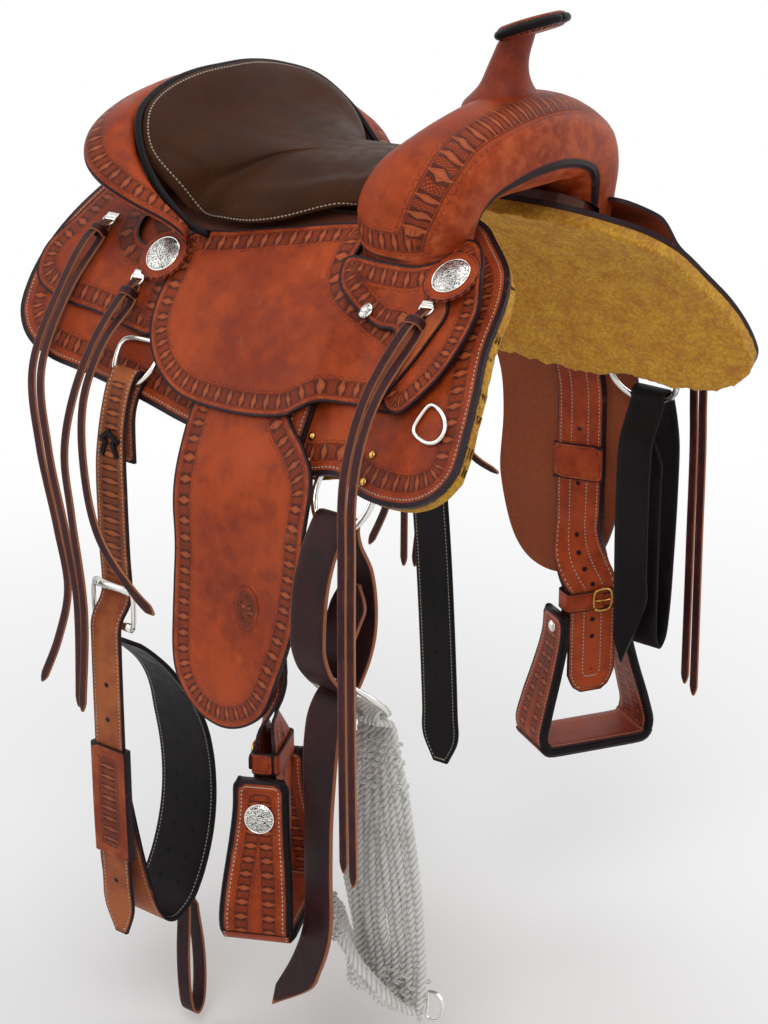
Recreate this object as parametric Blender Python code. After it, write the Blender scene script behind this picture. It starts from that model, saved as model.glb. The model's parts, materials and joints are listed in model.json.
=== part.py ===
# A western trail saddle in russet leather, with a padded seat, fenders and
# stirrups, a rope front cinch and a leather flank cinch.
# Metres. +X points to the horse's head, +Y to its near (left) side, +Z up.
# The origin is on the middle plane, ridge_height below the ridge line of the
# rounded back that carries the saddle.
import bpy
import bmesh
from math import asin, cos, degrees, pi, radians, sin, sqrt, tau
from mathutils import Vector
from mathutils.geometry import delaunay_2d_cdt

for leftover in list(bpy.data.objects):
    bpy.data.objects.remove(leftover, do_unlink=True)

# Clearances
layer_gap = 0.0009          # between two leathers that lie on each other
seat_gap = 0.0004           # between hard pieces that bear on each other
strap_gap = 0.0006          # between a strap and the wire that it goes round

# The rounded back that the saddle is shaped to
ridge_half = 0.0156
ridge_height = 0.068
ridge_rise = 0.04
waist_x = -0.08
waist_radius = 0.275
waist_flare = 0.78
ridge_slope = radians(16)
side_slope = radians(61)

# Leather and fleece thicknesses
fleece_thickness = 0.013
fleece_top = 0.009
skirt_leather = 0.0055
jockey_leather = 0.0045
fender_leather = 0.004
stirrup_strap_leather = 0.004
billet_leather = 0.0045
string_leather = 0.0024
flank_leather = 0.0048
pad_thickness = 0.013

# Tree
bar_thickness = 0.012
bar_inner = 0.054
bar_outer = 0.121
bar_front = 0.185
bar_rear = -0.2455
fork_wall = 0.003
horn_foot = Vector((0.160, 0.0, 0.199))
horn_head = Vector((0.186, 0.0, 0.262))
horn_foot_radius = 0.031
horn_neck_radius = 0.0205
horn_cap_radius = 0.036
horn_cap_thickness = 0.011
horn_cap_tilt = radians(20)

# Seat
rim_wire = 0.003
board_thickness = 0.009
roll_width = 0.057
seat_centre = Vector((-0.07, 0.0, 0.0985))
seat_hollow = 2.2

# Widths
stirrup_strap_width = 0.063
latigo_width = 0.045
billet_width = 0.045
near_billet_width = 0.056
flank_width = 0.085
flank_end_width = 0.050
string_width = 0.009
hobble_width = 0.024
hobble_leather = 0.0025
connector_width = 0.020
cinch_width = 0.105
cinch_end_width = 0.048
cinch_thickness = 0.014

# Rings
rigging_ring_radius = 0.042
rigging_wire = 0.004
dee_radius = 0.030
dee_wire = 0.0035
breast_dee_width = 0.036
breast_dee_depth = 0.040
breast_dee_wire = 0.0025
clip_dee_width = 0.019
clip_dee_depth = 0.013
clip_dee_wire = 0.0013
cinch_ring_radius = 0.044
cinch_wire = 0.0035
buckle_half = 0.031
buckle_drop = 0.021
buckle_wire = 0.003

# Conchos
concho_radius = 0.0205
rosette_radius = 0.0300
rosette_scallops = 11

# Stirrup
stirrup_drop = 0.174
stirrup_half_width = 0.0715
stirrup_ear_half = 0.0415
stirrup_wall = 0.011
stirrup_top_depth = 0.052
stirrup_tread_depth = 0.072
stirrup_bolt_radius = 0.0045
stirrup_yaw = radians(28)
stirrup_centre = (0.073, 0.284)
stirrup_top = -0.478

# Places on the pattern: forward distance, and distance down from the ridge
rigging_place = (0.157, 0.352)
rear_dee_place = (-0.170, 0.262)
breast_dee_place = (0.236, 0.268)
front_concho_place = (0.211, 0.136)
rear_concho_place = (-0.172, 0.154)
clip_places = ((-0.292, 0.116), (-0.206, 0.174), (0.196, 0.163))
leg_top = 0.208
leg_turn = 0.34
leg_bend = 0.12
leg_x = 0.060
leg_pivot_x = 0.058

# Heights of the layers above the rounded back
skirt_low = fleece_top + layer_gap
skirt_high = skirt_low + skirt_leather
on_skirt = skirt_high + layer_gap
bar_high = on_skirt + bar_thickness
strap_inner = on_skirt + stirrup_strap_leather / 2
strap_outer = strap_inner + stirrup_strap_leather + layer_gap
fender_low = strap_outer + stirrup_strap_leather / 2 + layer_gap
fender_high = fender_low + fender_leather
raised_jockey = fender_high + layer_gap
sides = (("off", -1), ("near", 1))
along = Vector((1, 0, 0))


def material(name, colour, roughness, metallic):
    made = bpy.data.materials.new(name)
    made.use_nodes = True
    shader = made.node_tree.nodes["Principled BSDF"]
    shader.inputs["Base Color"].default_value = (*colour, 1)
    shader.inputs["Roughness"].default_value = roughness
    shader.inputs["Metallic"].default_value = metallic
    made.diffuse_color = (*colour, 1)
    return made


russet = material("russet_leather", (0.42, 0.085, 0.025), 0.45, 0)
brown = material("brown_leather", (0.085, 0.038, 0.018), 0.4, 0)
burgundy = material("burgundy_leather", (0.045, 0.014, 0.018), 0.45, 0)
black = material("black_leather", (0.015, 0.013, 0.015), 0.5, 0)
fleece_wool = material("fleece_wool", (0.62, 0.33, 0.09), 0.95, 0)
rope_white = material("rope_white", (0.55, 0.54, 0.50), 0.9, 0)
nickel = material("nickel", (0.78, 0.77, 0.74), 0.2, 1)
wood = material("tree_wood", (0.35, 0.22, 0.10), 0.6, 0)


def bar_radius(x):
    return waist_radius + waist_flare * (x - waist_x) ** 2


def ridge_z(x):
    return ridge_height + ridge_rise * x


def ground(side, x, s, h):
    """Point h above the rounded back, s down from the ridge edge."""
    radius = bar_radius(x)
    turn = ridge_slope + s / radius
    over = 0.0
    if turn > side_slope:
        over = s - radius * (side_slope - ridge_slope)
        turn = side_slope
    y = ridge_half + radius * (sin(turn) - sin(ridge_slope)) + over * cos(turn)
    z = ridge_z(x) - radius * (cos(ridge_slope) - cos(turn)) - over * sin(turn)
    return Vector((x, side * (y + h * sin(turn)), z + h * cos(turn)))


def leg_ground(side, x, s, h):
    """The same, but bending to hang straight down past leg_turn."""
    if s <= leg_turn:
        return ground(side, x, s, h)
    start = ground(1, x, leg_turn, 0)
    run = s - leg_turn
    turn = side_slope + run / leg_bend
    over = 0.0
    if turn > pi / 2:
        over = run - leg_bend * (pi / 2 - side_slope)
        turn = pi / 2
    y = start.y + leg_bend * (sin(turn) - sin(side_slope))
    z = start.z - leg_bend * (cos(side_slope) - cos(turn)) - over
    return Vector((x, side * (y + h * sin(turn)), z + h * cos(turn)))


def pattern_s(x, y, h):
    """Distance down from the ridge edge at a sideways distance y."""
    radius = bar_radius(x)
    return radius * (asin((y - ridge_half + radius * sin(ridge_slope)) / (radius + h)) - ridge_slope)


def inner_edge(x, side_gap=0.0012):
    """Pattern distance of the line where the two sides meet."""
    return pattern_s(x, side_gap, fleece_top - fleece_thickness)


def ground_z(x, y, h):
    return ground(1, x, pattern_s(x, y, h), h).z


def ease(value, low, high):
    t = min(max((value - low) / (high - low), 0.0), 1.0)
    return t * t * (3 - 2 * t)


def frame_at(side, x, s, h, reach=0.002):
    """Point, forward, down and outward directions on the back."""
    point = ground(side, x, s, h)
    forward = (ground(side, x + reach, s, h) - ground(side, x - reach, s, h)).normalized()
    outward = (ground(side, x, s, h + reach) - point).normalized()
    down = (outward.cross(forward) * side).normalized()
    return point, forward, down, outward


def smooth_path(points, step, closed=False):
    """Centripetal curve through the points, with a point about every step."""
    pts = [Vector(p) for p in points]
    count = len(pts)
    path = []
    for i in range(count if closed else count - 1):
        b = pts[i]
        c = pts[(i + 1) % count]
        a = pts[i - 1] if closed or i > 0 else b * 2 - c
        d = pts[(i + 2) % count] if closed or i + 2 < count else c * 2 - b
        ab = sqrt((b - a).length)
        bc = sqrt((c - b).length)
        cd = sqrt((d - c).length)
        lead = ((b - a) / ab - (c - a) / (ab + bc) + (c - b) / bc) * bc
        trail = ((c - b) / bc - (d - b) / (bc + cd) + (d - c) / cd) * bc
        steps = max(1, round((c - b).length / step))
        for j in range(steps):
            u = j / steps
            path.append(b * (2 * u**3 - 3 * u**2 + 1) + lead * (u**3 - 2 * u**2 + u)
                        + c * (3 * u**2 - 2 * u**3) + trail * (u**3 - u**2))
    if not closed:
        path.append(pts[-1])
    return path


def add_object(name, bm, finish, origin=(0, 0, 0), sharp=35):
    bmesh.ops.recalc_face_normals(bm, faces=bm.faces)
    mesh = bpy.data.meshes.new(name)
    bmesh.ops.translate(bm, verts=bm.verts, vec=-Vector(origin))
    bm.to_mesh(mesh)
    bm.free()
    mesh.materials.append(finish)
    mesh.shade_smooth()
    mesh.set_sharp_from_angle(angle=radians(sharp))
    made = bpy.data.objects.new(name, mesh)
    made.location = origin
    bpy.context.scene.collection.objects.link(made)
    return made


def loft(bm, rings, closed_path=False, capped=True):
    """Skin through rings of points that all have the same count."""
    rows = [[bm.verts.new(p) for p in ring] for ring in rings]
    count = len(rows[0])
    for i in range(len(rows) if closed_path else len(rows) - 1):
        a = rows[i]
        b = rows[(i + 1) % len(rows)]
        for j in range(count):
            k = (j + 1) % count
            bm.faces.new((a[j], a[k], b[k], b[j]))
    if capped and not closed_path:
        bm.faces.new(reversed(rows[0]))
        bm.faces.new(rows[-1])
    return rows


def panel(name, outline, place, low, high, finish, cell=(0.060, 0.027), step=0.028, origin=(0, 0, 0), extra=()):
    """A leather cut to a closed outline, between two heights of place."""
    edge = [Vector(p) for p in smooth_path([Vector((*p, 0)) for p in outline], step, True)]
    flat = [Vector((p.x, max(p.y, inner_edge(p.x)))) for p in edge]
    count = len(flat)
    low_x = min(p.x for p in flat)
    high_x = max(p.x for p in flat)
    low_s = min(p.y for p in flat)
    high_s = max(p.y for p in flat)
    grid = [Vector((i * cell[0], j * cell[1]))
            for i in range(int(low_x / cell[0]) - 1, int(high_x / cell[0]) + 2)
            for j in range(int(low_s / cell[1]) - 1, int(high_s / cell[1]) + 2)]
    if extra:
        grid = [g for g in grid if all((g - e).length > min(cell) * 0.5 for e in extra)] + list(extra)
    inner = []
    for spot in grid:
        clear = True
        for a, b in zip(flat, flat[1:] + flat[:1]):
            t = min(max((spot - a).dot(b - a) / max((b - a).length_squared, 1e-12), 0), 1)
            if (spot - a - (b - a) * t).length < min(cell) * 0.35:
                clear = False
        if clear:
            inner.append(spot)
    spots, _, faces, _, _, _ = delaunay_2d_cdt(flat + inner, [], [list(range(count))], 1, 1e-7)
    used = sorted({v for face in faces for v in face})
    bm = bmesh.new()
    lows = low if callable(low) else (lambda x, s: low)
    highs = high if callable(high) else (lambda x, s: high)
    top = {v: bm.verts.new(place(*spots[v], highs(*spots[v]))) for v in used}
    base = {v: bm.verts.new(place(*spots[v], lows(*spots[v]))) for v in used}
    walls = {}
    for face in faces:
        bm.faces.new([top[v] for v in face])
        bm.faces.new([base[v] for v in reversed(face)])
        for a, b in zip(face, face[1:] + face[:1]):
            if (b, a) in walls:
                del walls[(b, a)]
            else:
                walls[(a, b)] = True
    for a, b in walls:
        bm.faces.new((top[b], top[a], base[a], base[b]))
    return add_object(name, bm, finish, origin)


def strap_rings(points, across, widths, thickness):
    """Rectangular sections along a path; across is the width direction."""
    count = len(points)
    lengths = [0.0]
    for a, b in zip(points, points[1:]):
        lengths.append(lengths[-1] + (b - a).length)
    rings = []
    for i, point in enumerate(points):
        t = lengths[i] / lengths[-1]
        run = (points[min(i + 1, count - 1)] - points[max(i - 1, 0)]).normalized()
        wide = across(t) if callable(across) else across
        wide = (wide - run * wide.dot(run)).normalized()
        out = run.cross(wide)
        width = widths(t) if callable(widths) else widths
        half = wide * width / 2
        rise = out * thickness / 2
        rings.append((point - half - rise, point + half - rise, point + half + rise, point - half + rise))
    return rings


def loft_strap(bm, rings):
    """Skin a flat strap; both wide faces split along the same diagonals."""
    rows = [[bm.verts.new(p) for p in ring] for ring in rings]
    half = len(rows[0]) // 2
    for a, b in zip(rows, rows[1:]):
        for j in range(half - 1):
            k = 2 * half - 1 - j
            bm.faces.new((a[j], a[j + 1], b[j + 1]))
            bm.faces.new((a[j], b[j + 1], b[j]))
            bm.faces.new((a[k - 1], a[k], b[k - 1]))
            bm.faces.new((a[k], b[k], b[k - 1]))
        bm.faces.new((a[half - 1], a[half], b[half], b[half - 1]))
        bm.faces.new((a[-1], a[0], b[0], b[-1]))
    bm.faces.new(reversed(rows[0]))
    bm.faces.new(rows[-1])


def strap(name, points, across, widths, thickness, finish, origin=(0, 0, 0)):
    bm = bmesh.new()
    loft_strap(bm, strap_rings(points, across, widths, thickness))
    return add_object(name, bm, finish, origin)


def wire_loop(name, points, normal, radius, finish, origin=(0, 0, 0), facets=6):
    """Round wire along a closed flat loop."""
    bm = bmesh.new()
    rings = []
    count = len(points)
    for i, point in enumerate(points):
        run = (points[(i + 1) % count] - points[i - 1]).normalized()
        out = run.cross(normal)
        rings.append([point + (normal * cos(tau * k / facets) + out * sin(tau * k / facets)) * radius
                      for k in range(facets)])
    loft(bm, rings, closed_path=True)
    return add_object(name, bm, finish, origin, 60)


def merge_into(body, helper):
    """Union of a helper solid with a body; the helper itself isn't a piece."""
    helper.hide_render = True
    helper.display_type = "WIRE"
    join = body.modifiers.new(helper.name, "BOOLEAN")
    join.operation = "UNION"
    join.object = helper


def circle_points(centre, right, up, radius, steps):
    return [centre + (right * cos(tau * k / steps) + up * sin(tau * k / steps)) * radius for k in range(steps)]


def tapered(width, tip, end, start=0.0):
    """Full width along a strap, narrowing over its last part."""
    def at(t):
        if t > 1 - end:
            return width * (tip + (1 - tip) * sqrt(max(0.0, 1 - ((t - 1 + end) / end) ** 2)))
        if t < start:
            return width * (tip + (1 - tip) * sqrt(max(0.0, 1 - ((start - t) / start) ** 2)))
        return width
    return at


# Fleece and skirts. The skirts meet behind the cantle and leave the spine
# clear in front of it.
skirt_outline = [
    (-0.350, inner_edge(-0.350)), (-0.290, inner_edge(-0.290)), (-0.262, 0.000), (-0.235, 0.016),
    (-0.08, 0.018), (0.10, 0.020), (0.175, 0.042), (0.210, 0.068), (0.248, 0.102), (0.268, 0.140),
    (0.280, 0.196), (0.295, 0.247), (0.303, 0.296), (0.302, 0.322), (0.286, 0.345), (0.258, 0.358),
    (0.222, 0.360), (0.187, 0.355), (0.145, 0.339), (0.100, 0.344), (0.02, 0.331), (-0.078, 0.317),
    (-0.152, 0.302), (-0.240, 0.288), (-0.297, 0.281), (-0.335, 0.266), (-0.358, 0.240),
    (-0.366, 0.205), (-0.367, 0.150), (-0.360, 0.080), (-0.353, 0.020)]


def ring_hollow(x, s):
    """Fleece pressed in behind the rigging ring."""
    gap = sqrt((x - rigging_place[0]) ** 2 + (s - rigging_place[1]) ** 2)
    pressed = fleece_top - skirt_low + 2 * rigging_wire + 4 * seat_gap + 0.0006
    return fleece_top - pressed * (1 - ease(gap, rigging_ring_radius + 0.012, rigging_ring_radius + 0.040))


bars = {}
for tag, side in sides:
    def lay(x, s, h, side=side):
        return ground(side, x, s, h)

    hollow = [Vector((rigging_place[0] + radius * cos(tau * k / 12), rigging_place[1] + radius * sin(tau * k / 12)))
              for radius in (rigging_ring_radius + 0.011, rigging_ring_radius + 0.042) for k in range(12)]
    panel("fleece_" + tag, skirt_outline, lay, fleece_top - fleece_thickness, ring_hollow, fleece_wool, extra=hollow)
    panel("skirt_" + tag, skirt_outline, lay, skirt_low, skirt_high, russet)
    bars[tag] = panel("tree_bar_" + tag, [
        (bar_rear, bar_inner), (-0.12, bar_inner), (0.03, bar_inner), (bar_front - 0.02, bar_inner),
        (bar_front, bar_inner + 0.02), (bar_front, bar_outer - 0.02), (bar_front - 0.02, bar_outer), (0.03, bar_outer),
        (-0.12, bar_outer), (bar_rear + 0.025, bar_outer), (bar_rear, bar_inner + 0.022)],
        lay, on_skirt, bar_high, wood, cell=(0.060, 0.0135), step=0.030)

# Rear jockeys lie on the skirts behind the cantle and beside the bars.
rear_jockey_outline = [
    (-0.330, inner_edge(-0.330)), (-0.290, inner_edge(-0.290)), (-0.262, 0.004), (-0.254, 0.030),
    (-0.252, 0.080), (-0.250, 0.118), (-0.236, 0.134), (-0.200, 0.140), (-0.165, 0.150), (-0.160, 0.190),
    (-0.164, 0.231), (-0.190, 0.231), (-0.245, 0.222), (-0.307, 0.217), (-0.345, 0.205),
    (-0.359, 0.186), (-0.362, 0.160), (-0.348, 0.120), (-0.338, 0.060)]


# Seat jockeys run from under the pad over the fender's top.
def seat_jockey_height(x, s):
    over_bar = 1 - ease(s, bar_outer + 0.004, bar_outer + 0.045)
    over_leg = 1 - ease(x - 0.002, 0.086, 0.130)
    return on_skirt + (raised_jockey - on_skirt) * max(over_bar, over_leg)


seat_jockey_outline = [
    (-0.158, 0.126), (-0.10, 0.112), (-0.03, 0.098), (0.030, 0.086), (0.060, 0.084), (0.070, 0.100),
    (0.074, 0.130), (0.090, 0.150), (0.130, 0.168), (0.185, 0.195), (0.200, 0.240), (0.196, 0.266), (0.140, 0.266),
    (0.106, 0.269), (0.085, 0.280), (0.070, 0.289), (0.040, 0.295), (-0.020, 0.297), (-0.087, 0.289),
    (-0.126, 0.267), (-0.147, 0.242), (-0.157, 0.215), (-0.158, 0.170)]
front_jockey_outline = [
    (0.070, 0.128), (0.120, 0.128), (0.165, 0.128), (0.188, 0.118), (0.196, 0.094), (0.214, 0.094),
    (0.238, 0.118), (0.252, 0.150), (0.257, 0.190), (0.250, 0.226), (0.233, 0.252), (0.212, 0.270),
    (0.196, 0.268), (0.182, 0.254), (0.172, 0.225), (0.166, 0.192), (0.141, 0.189), (0.098, 0.170),
    (0.076, 0.152)]


def front_jockey_height(x, s):
    return seat_jockey_height(x, s) + jockey_leather + layer_gap * 2


for tag, side in sides:
    def lay(x, s, h, side=side):
        return ground(side, x, s, h)

    panel("rear_jockey_" + tag, rear_jockey_outline, lay, on_skirt, on_skirt + jockey_leather, russet)
    panel("seat_jockey_" + tag, seat_jockey_outline, lay, seat_jockey_height,
          lambda x, s: seat_jockey_height(x, s) + jockey_leather, russet, cell=(0.030, 0.0225))
    panel("front_jockey_" + tag, front_jockey_outline, lay, front_jockey_height,
          lambda x, s: front_jockey_height(x, s) + jockey_leather, russet, cell=(0.030, 0.0225), step=0.020)

# Fork: an arch over the withers, with its leather cover round it.
fork_arch = (
    # outer y, outer z, inner y, inner z, middle x, half depth
    (0.147, 0.044, 0.090, 0.080, 0.134, 0.056),
    (0.152, 0.074, 0.084, 0.091, 0.133, 0.060),
    (0.153, 0.108, 0.075, 0.098, 0.137, 0.060),
    (0.138, 0.143, 0.060, 0.103, 0.146, 0.056),
    (0.100, 0.168, 0.041, 0.106, 0.157, 0.050),
    (0.050, 0.187, 0.020, 0.108, 0.166, 0.045),
    (0.000, 0.193, 0.000, 0.109, 0.170, 0.043))
fork_half = [Vector(row[:2] + (0,)) for row in fork_arch]
fork_inner = [Vector(row[2:4] + (0,)) for row in fork_arch]
fork_depth = [Vector(row[4:] + (0,)) for row in fork_arch]


def mirrored(rows, flip):
    return rows + [Vector((-r.x, r.y, 0)) if flip else r for r in reversed(rows[:-1])]


def fork_rings(grow, sides_count=12, per=2):
    rings = []
    outer = mirrored(fork_half, True)
    inner = mirrored(fork_inner, True)
    depth = mirrored(fork_depth, False)
    count = (len(outer) - 1) * per
    for i in range(count + 1):
        t = i / per
        k = min(int(t), len(outer) - 2)
        u = t - k

        def mix(rows):
            a = rows[max(k - 1, 0)]
            b = rows[k]
            c = rows[k + 1]
            d = rows[min(k + 2, len(rows) - 1)]
            return b + (c - a) * 0.5 * u + (a * 2 - b * 5 + c * 4 - d) * 0.5 * u * u + (b * 3 - a - c * 3 + d) * 0.5 * u**3
        o = mix(outer)
        n = mix(inner)
        d = mix(depth)
        centre = Vector((d.x, (o.x + n.x) / 2, (o.y + n.y) / 2))
        out = Vector((0, o.x - n.x, o.y - n.y))
        half = out.length / 2 + grow
        out.normalize()
        ring = []
        for j in range(sides_count):
            angle = tau * j / sides_count
            c = cos(angle)
            s = sin(angle)
            c = abs(c) ** 0.75 * (1 if c > 0 else -1)
            s = abs(s) ** 0.75 * (1 if s > 0 else -1)
            ring.append(centre + out * half * c + Vector((1, 0, 0)) * (d.y + grow) * s)
        rings.append(ring)
    for ring in (rings[0], rings[-1]):
        for p in ring:
            over = seat_gap + (front_jockey_height(p.x, 0.13) + jockey_leather - bar_high) * ease(abs(p.y), 0.108, 0.132)
            over -= bar_thickness * ease(p.x, bar_front + 0.002, bar_front + 0.012) * (1 - ease(abs(p.y), 0.098, 0.112))
            p.z = ground_z(p.x, abs(p.y), bar_high + over + 0.0006)
    return rings


bm = bmesh.new()
loft(bm, fork_rings(-0.0025, 12, 1))
add_object("tree_fork", bm, wood)
bm = bmesh.new()
outer_rows = loft(bm, fork_rings(seat_gap + fork_wall), capped=False)
inner_rows = loft(bm, fork_rings(seat_gap + 0.0008), capped=False)
for a, b in ((outer_rows[0], inner_rows[0]), (outer_rows[-1], inner_rows[-1])):
    for j in range(len(a)):
        k = (j + 1) % len(a)
        bm.faces.new((a[j], a[k], b[k], b[j]))
add_object("fork_cover", bm, russet)

# Horn: a wrapped neck that leans forward, and a flat leather cap.
lean = (horn_head - horn_foot).normalized()
bm = bmesh.new()
rings = []
for part, radius in ((0.0, horn_foot_radius), (0.10, 0.0245), (0.25, 0.0205), (0.5, horn_neck_radius),
                     (0.8, horn_neck_radius * 0.95), (1.0, horn_neck_radius)):
    tilt = horn_cap_tilt * part
    right = Vector((cos(tilt), 0, sin(tilt)))
    centre = horn_foot.lerp(horn_head, part)
    rings.append(circle_points(centre, right, Vector((0, 1, 0)), radius, 20))
rings[0] = [Vector((p.x, p.y, 0)) for p in rings[0]]
fork_skin = fork_rings(seat_gap * 2 + fork_wall, 28, 6)


def skin_z(x, y):
    """Height of the fork cover's top under a point."""
    best = -1.0
    for a, b in zip(fork_skin, fork_skin[1:]):
        if not min(a[0].y, b[0].y) - 0.01 <= y <= max(a[0].y, b[0].y) + 0.01:
            continue
        for p in a:
            if abs(p.x - x) < 0.008 and abs(p.y - y) < 0.006:
                best = max(best, p.z)
    return best


for p in rings[0]:
    p.z = max(skin_z(p.x, p.y), 0.150)
foot_z = [p.z for p in rings[0]]
for k, p in enumerate(rings[0]):
    p.z = (foot_z[k - 1] + foot_z[k] + foot_z[(k + 1) % len(foot_z)]) / 3 + 0.0031
loft(bm, rings)
add_object("horn_wrap", bm, russet)
bm = bmesh.new()
cap_up = Vector((-sin(horn_cap_tilt), 0, cos(horn_cap_tilt)))
cap_right = Vector((cos(horn_cap_tilt), 0, sin(horn_cap_tilt)))
cap_foot = horn_head + cap_up * seat_gap
rings = []
for rise, radius in ((0.0, 0.020), (0.001, 0.031), (0.004, 0.0355), (0.0075, horn_cap_radius), (0.0098, 0.0345),
                     (horn_cap_thickness, 0.030)):
    rings.append(circle_points(cap_foot + cap_up * rise, cap_right, Vector((0, 1, 0)), radius, 28))
loft(bm, rings)
add_object("horn_cap", bm, russet)

# Cantle: the rim, its board, the leather back with its rolled edge, and the
# black binding along the rim.
cantle_rim = [(-0.135, 0.168, 0.044), (-0.175, 0.176, 0.080), (-0.205, 0.170, 0.115), (-0.232, 0.145, 0.148),
              (-0.246, 0.100, 0.166), (-0.248, 0.050, 0.176)]
rim_points = [Vector((x, -y, z)) for x, y, z in cantle_rim] + [Vector((-0.247, 0, 0.178))]
rim_points += [Vector(p) for p in reversed(cantle_rim)]
rim = smooth_path(rim_points, 0.022)


def outward_at(path, i):
    """Level direction away from the seat, square to the rim's plan."""
    run = path[min(i + 1, len(path) - 1)] - path[max(i - 1, 0)]
    run = Vector((run.x, run.y, 0)).normalized()
    return Vector((-run.y, run.x, 0)) if Vector((-run.y, run.x, 0)).dot(path[i] - Vector((0.1, 0, 0))) > 0 \
        else Vector((run.y, -run.x, 0))


bm = bmesh.new()
rings = []
facets = 6
for i, point in enumerate(rim):
    run = (rim[min(i + 1, len(rim) - 1)] - rim[max(i - 1, 0)]).normalized()
    out = outward_at(rim, i)
    out = (out - run * out.dot(run)).normalized()
    up = run.cross(out)
    rings.append([point + (out * cos(tau * k / facets) + up * sin(tau * k / facets)) * rim_wire for k in range(facets)])
loft(bm, rings)
add_object("cantle_binding", bm, black, sharp=70)

board_top = 0.016
back_rings = []
board_rings = []
for i, point in enumerate(rim):
    out = outward_at(rim, i)
    y = abs(point.y)
    share = i / (len(rim) - 1) * 2 - 1
    fade = ease(1 - abs(share), 0.0, 0.42)
    width = rim_wire + 0.010 + (roll_width - rim_wire - 0.010) * fade
    drop = 0.004 + 0.016 * fade
    lip = 0.009 + 0.003 * fade
    start = point + out * (rim_wire + seat_gap)

    def spot(away, down, start=start, out=out):
        return start + out * away + Vector((0, 0, -down))
    foot_z = max(ground_z(p.x, abs(p.y), on_skirt + jockey_leather + 0.0015) for p in (spot(0.008, 0), spot(0.001, 0)))
    foot_z = max(foot_z, point.z - 0.022 - 0.10 * (1 - ease(y, 0.135, 0.160)))
    foot_down = max(point.z - foot_z, drop + lip + 0.006)
    back_rings.append((
        spot(0.0, 0.001), spot(width * 0.5, drop * 0.35), spot(width * 0.93, drop * 0.85), spot(width, drop + lip * 0.4),
        spot(width * 0.95, drop + lip), spot(width * 0.45 + 0.003, drop + lip), spot(0.006, drop + lip + 0.004),
        spot(0.008, foot_down), spot(0.001, foot_down)))
    low = ground_z(point.x + 0.012, min(y, 0.115), bar_high - bar_thickness / 2)
    if point.z - board_top - low > 0.012 and y < 0.150:
        inner = point - out * (board_thickness - rim_wire)
        outer = point + out * rim_wire
        board_rings.append((Vector((inner.x, inner.y, low)), Vector((outer.x, outer.y, low)),
                            Vector((outer.x, outer.y, point.z - 0.006)), Vector((inner.x, inner.y, point.z - board_top))))
bm = bmesh.new()
loft(bm, back_rings)
add_object("cantle_back", bm, russet)
bm = bmesh.new()
loft(bm, board_rings)
tree = add_object("tree_bars_and_cantle", bm, wood)
for tag, bar in bars.items():
    merge_into(tree, bar)

# Padded seat: dished between the cantle rim and the fork.
pad_side = [(-0.150, 0.1385), (-0.115, 0.1405), (-0.078, 0.1395), (-0.038, 0.131), (-0.006, 0.118), (0.020, 0.108)]
half = []
for x, y, z in (cantle_rim[5], cantle_rim[4], cantle_rim[3], cantle_rim[2]):
    half.append(Vector((x, y, z)))
for i, point in enumerate(half):
    level = Vector((point.x + 0.247, point.y, 0))
    inward = Vector((-0.07 - point.x, -point.y, 0)).normalized()
    half[i] = point + inward * (rim_wire + 0.0012) + Vector((0, 0, -0.002))
half.append(Vector((-0.170, 0.158, 0.078)))
for x, y in pad_side:
    half.append(Vector((x, y, ground_z(x, y, raised_jockey + jockey_leather + layer_gap) + 0.006)))
front = [Vector((0.045, 0.098, 0.073)), Vector((0.068, 0.076, 0.086)), Vector((0.084, 0.045, 0.098))]
ring = [Vector((-0.2428, 0, 0.176))] + half + front + [Vector((0.090, 0, 0.102))]
ring += [Vector((p.x, -p.y, p.z)) for p in reversed(front)] + [Vector((p.x, -p.y, p.z)) for p in reversed(half)]
pad_rim = smooth_path(ring, 0.030, True)
shares = (0.25, 0.5, 0.72, 0.88, 1.0)


def seat_z(point, share):
    return seat_centre.z + (point.z - seat_centre.z) * share ** seat_hollow


def lowest_pad(x, y):
    """Nothing of the pad goes below this height."""
    return ground_z(x, max(abs(y), 0.060), raised_jockey + jockey_leather + layer_gap)


bm = bmesh.new()
top_rows = []
base_rows = []
for share in shares:
    top_row = []
    base_row = []
    for point in pad_rim:
        x = seat_centre.x + (point.x - seat_centre.x) * share
        y = point.y * share
        z = seat_z(point, share)
        thick = pad_thickness - (pad_thickness - 0.006) * ease(share, 0.7, 1.0)
        base_z = max(z - thick, lowest_pad(x, y))
        z = max(z, base_z + 0.006)
        bulge = 0.003 * sin(pi * ease(share, 0.75, 1.0))
        top_row.append(bm.verts.new((x, y, z + bulge)))
        base_row.append(bm.verts.new((x, y, base_z)))
    top_rows.append(top_row)
    base_rows.append(base_row)
top_centre = bm.verts.new(seat_centre)
base_centre = bm.verts.new(seat_centre - Vector((0, 0, pad_thickness)))
count = len(pad_rim)
for j in range(count):
    k = (j + 1) % count
    bm.faces.new((top_centre, top_rows[0][j], top_rows[0][k]))
    bm.faces.new((base_centre, base_rows[0][k], base_rows[0][j]))
    for a, b in zip(top_rows, top_rows[1:]):
        bm.faces.new((a[j], b[j], b[k], a[k]))
    for a, b in zip(base_rows, base_rows[1:]):
        bm.faces.new((a[k], b[k], b[j], a[j]))
    bm.faces.new((top_rows[-1][j], base_rows[-1][j], base_rows[-1][k], top_rows[-1][k]))
add_object("seat_pad", bm, brown, sharp=50)

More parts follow.
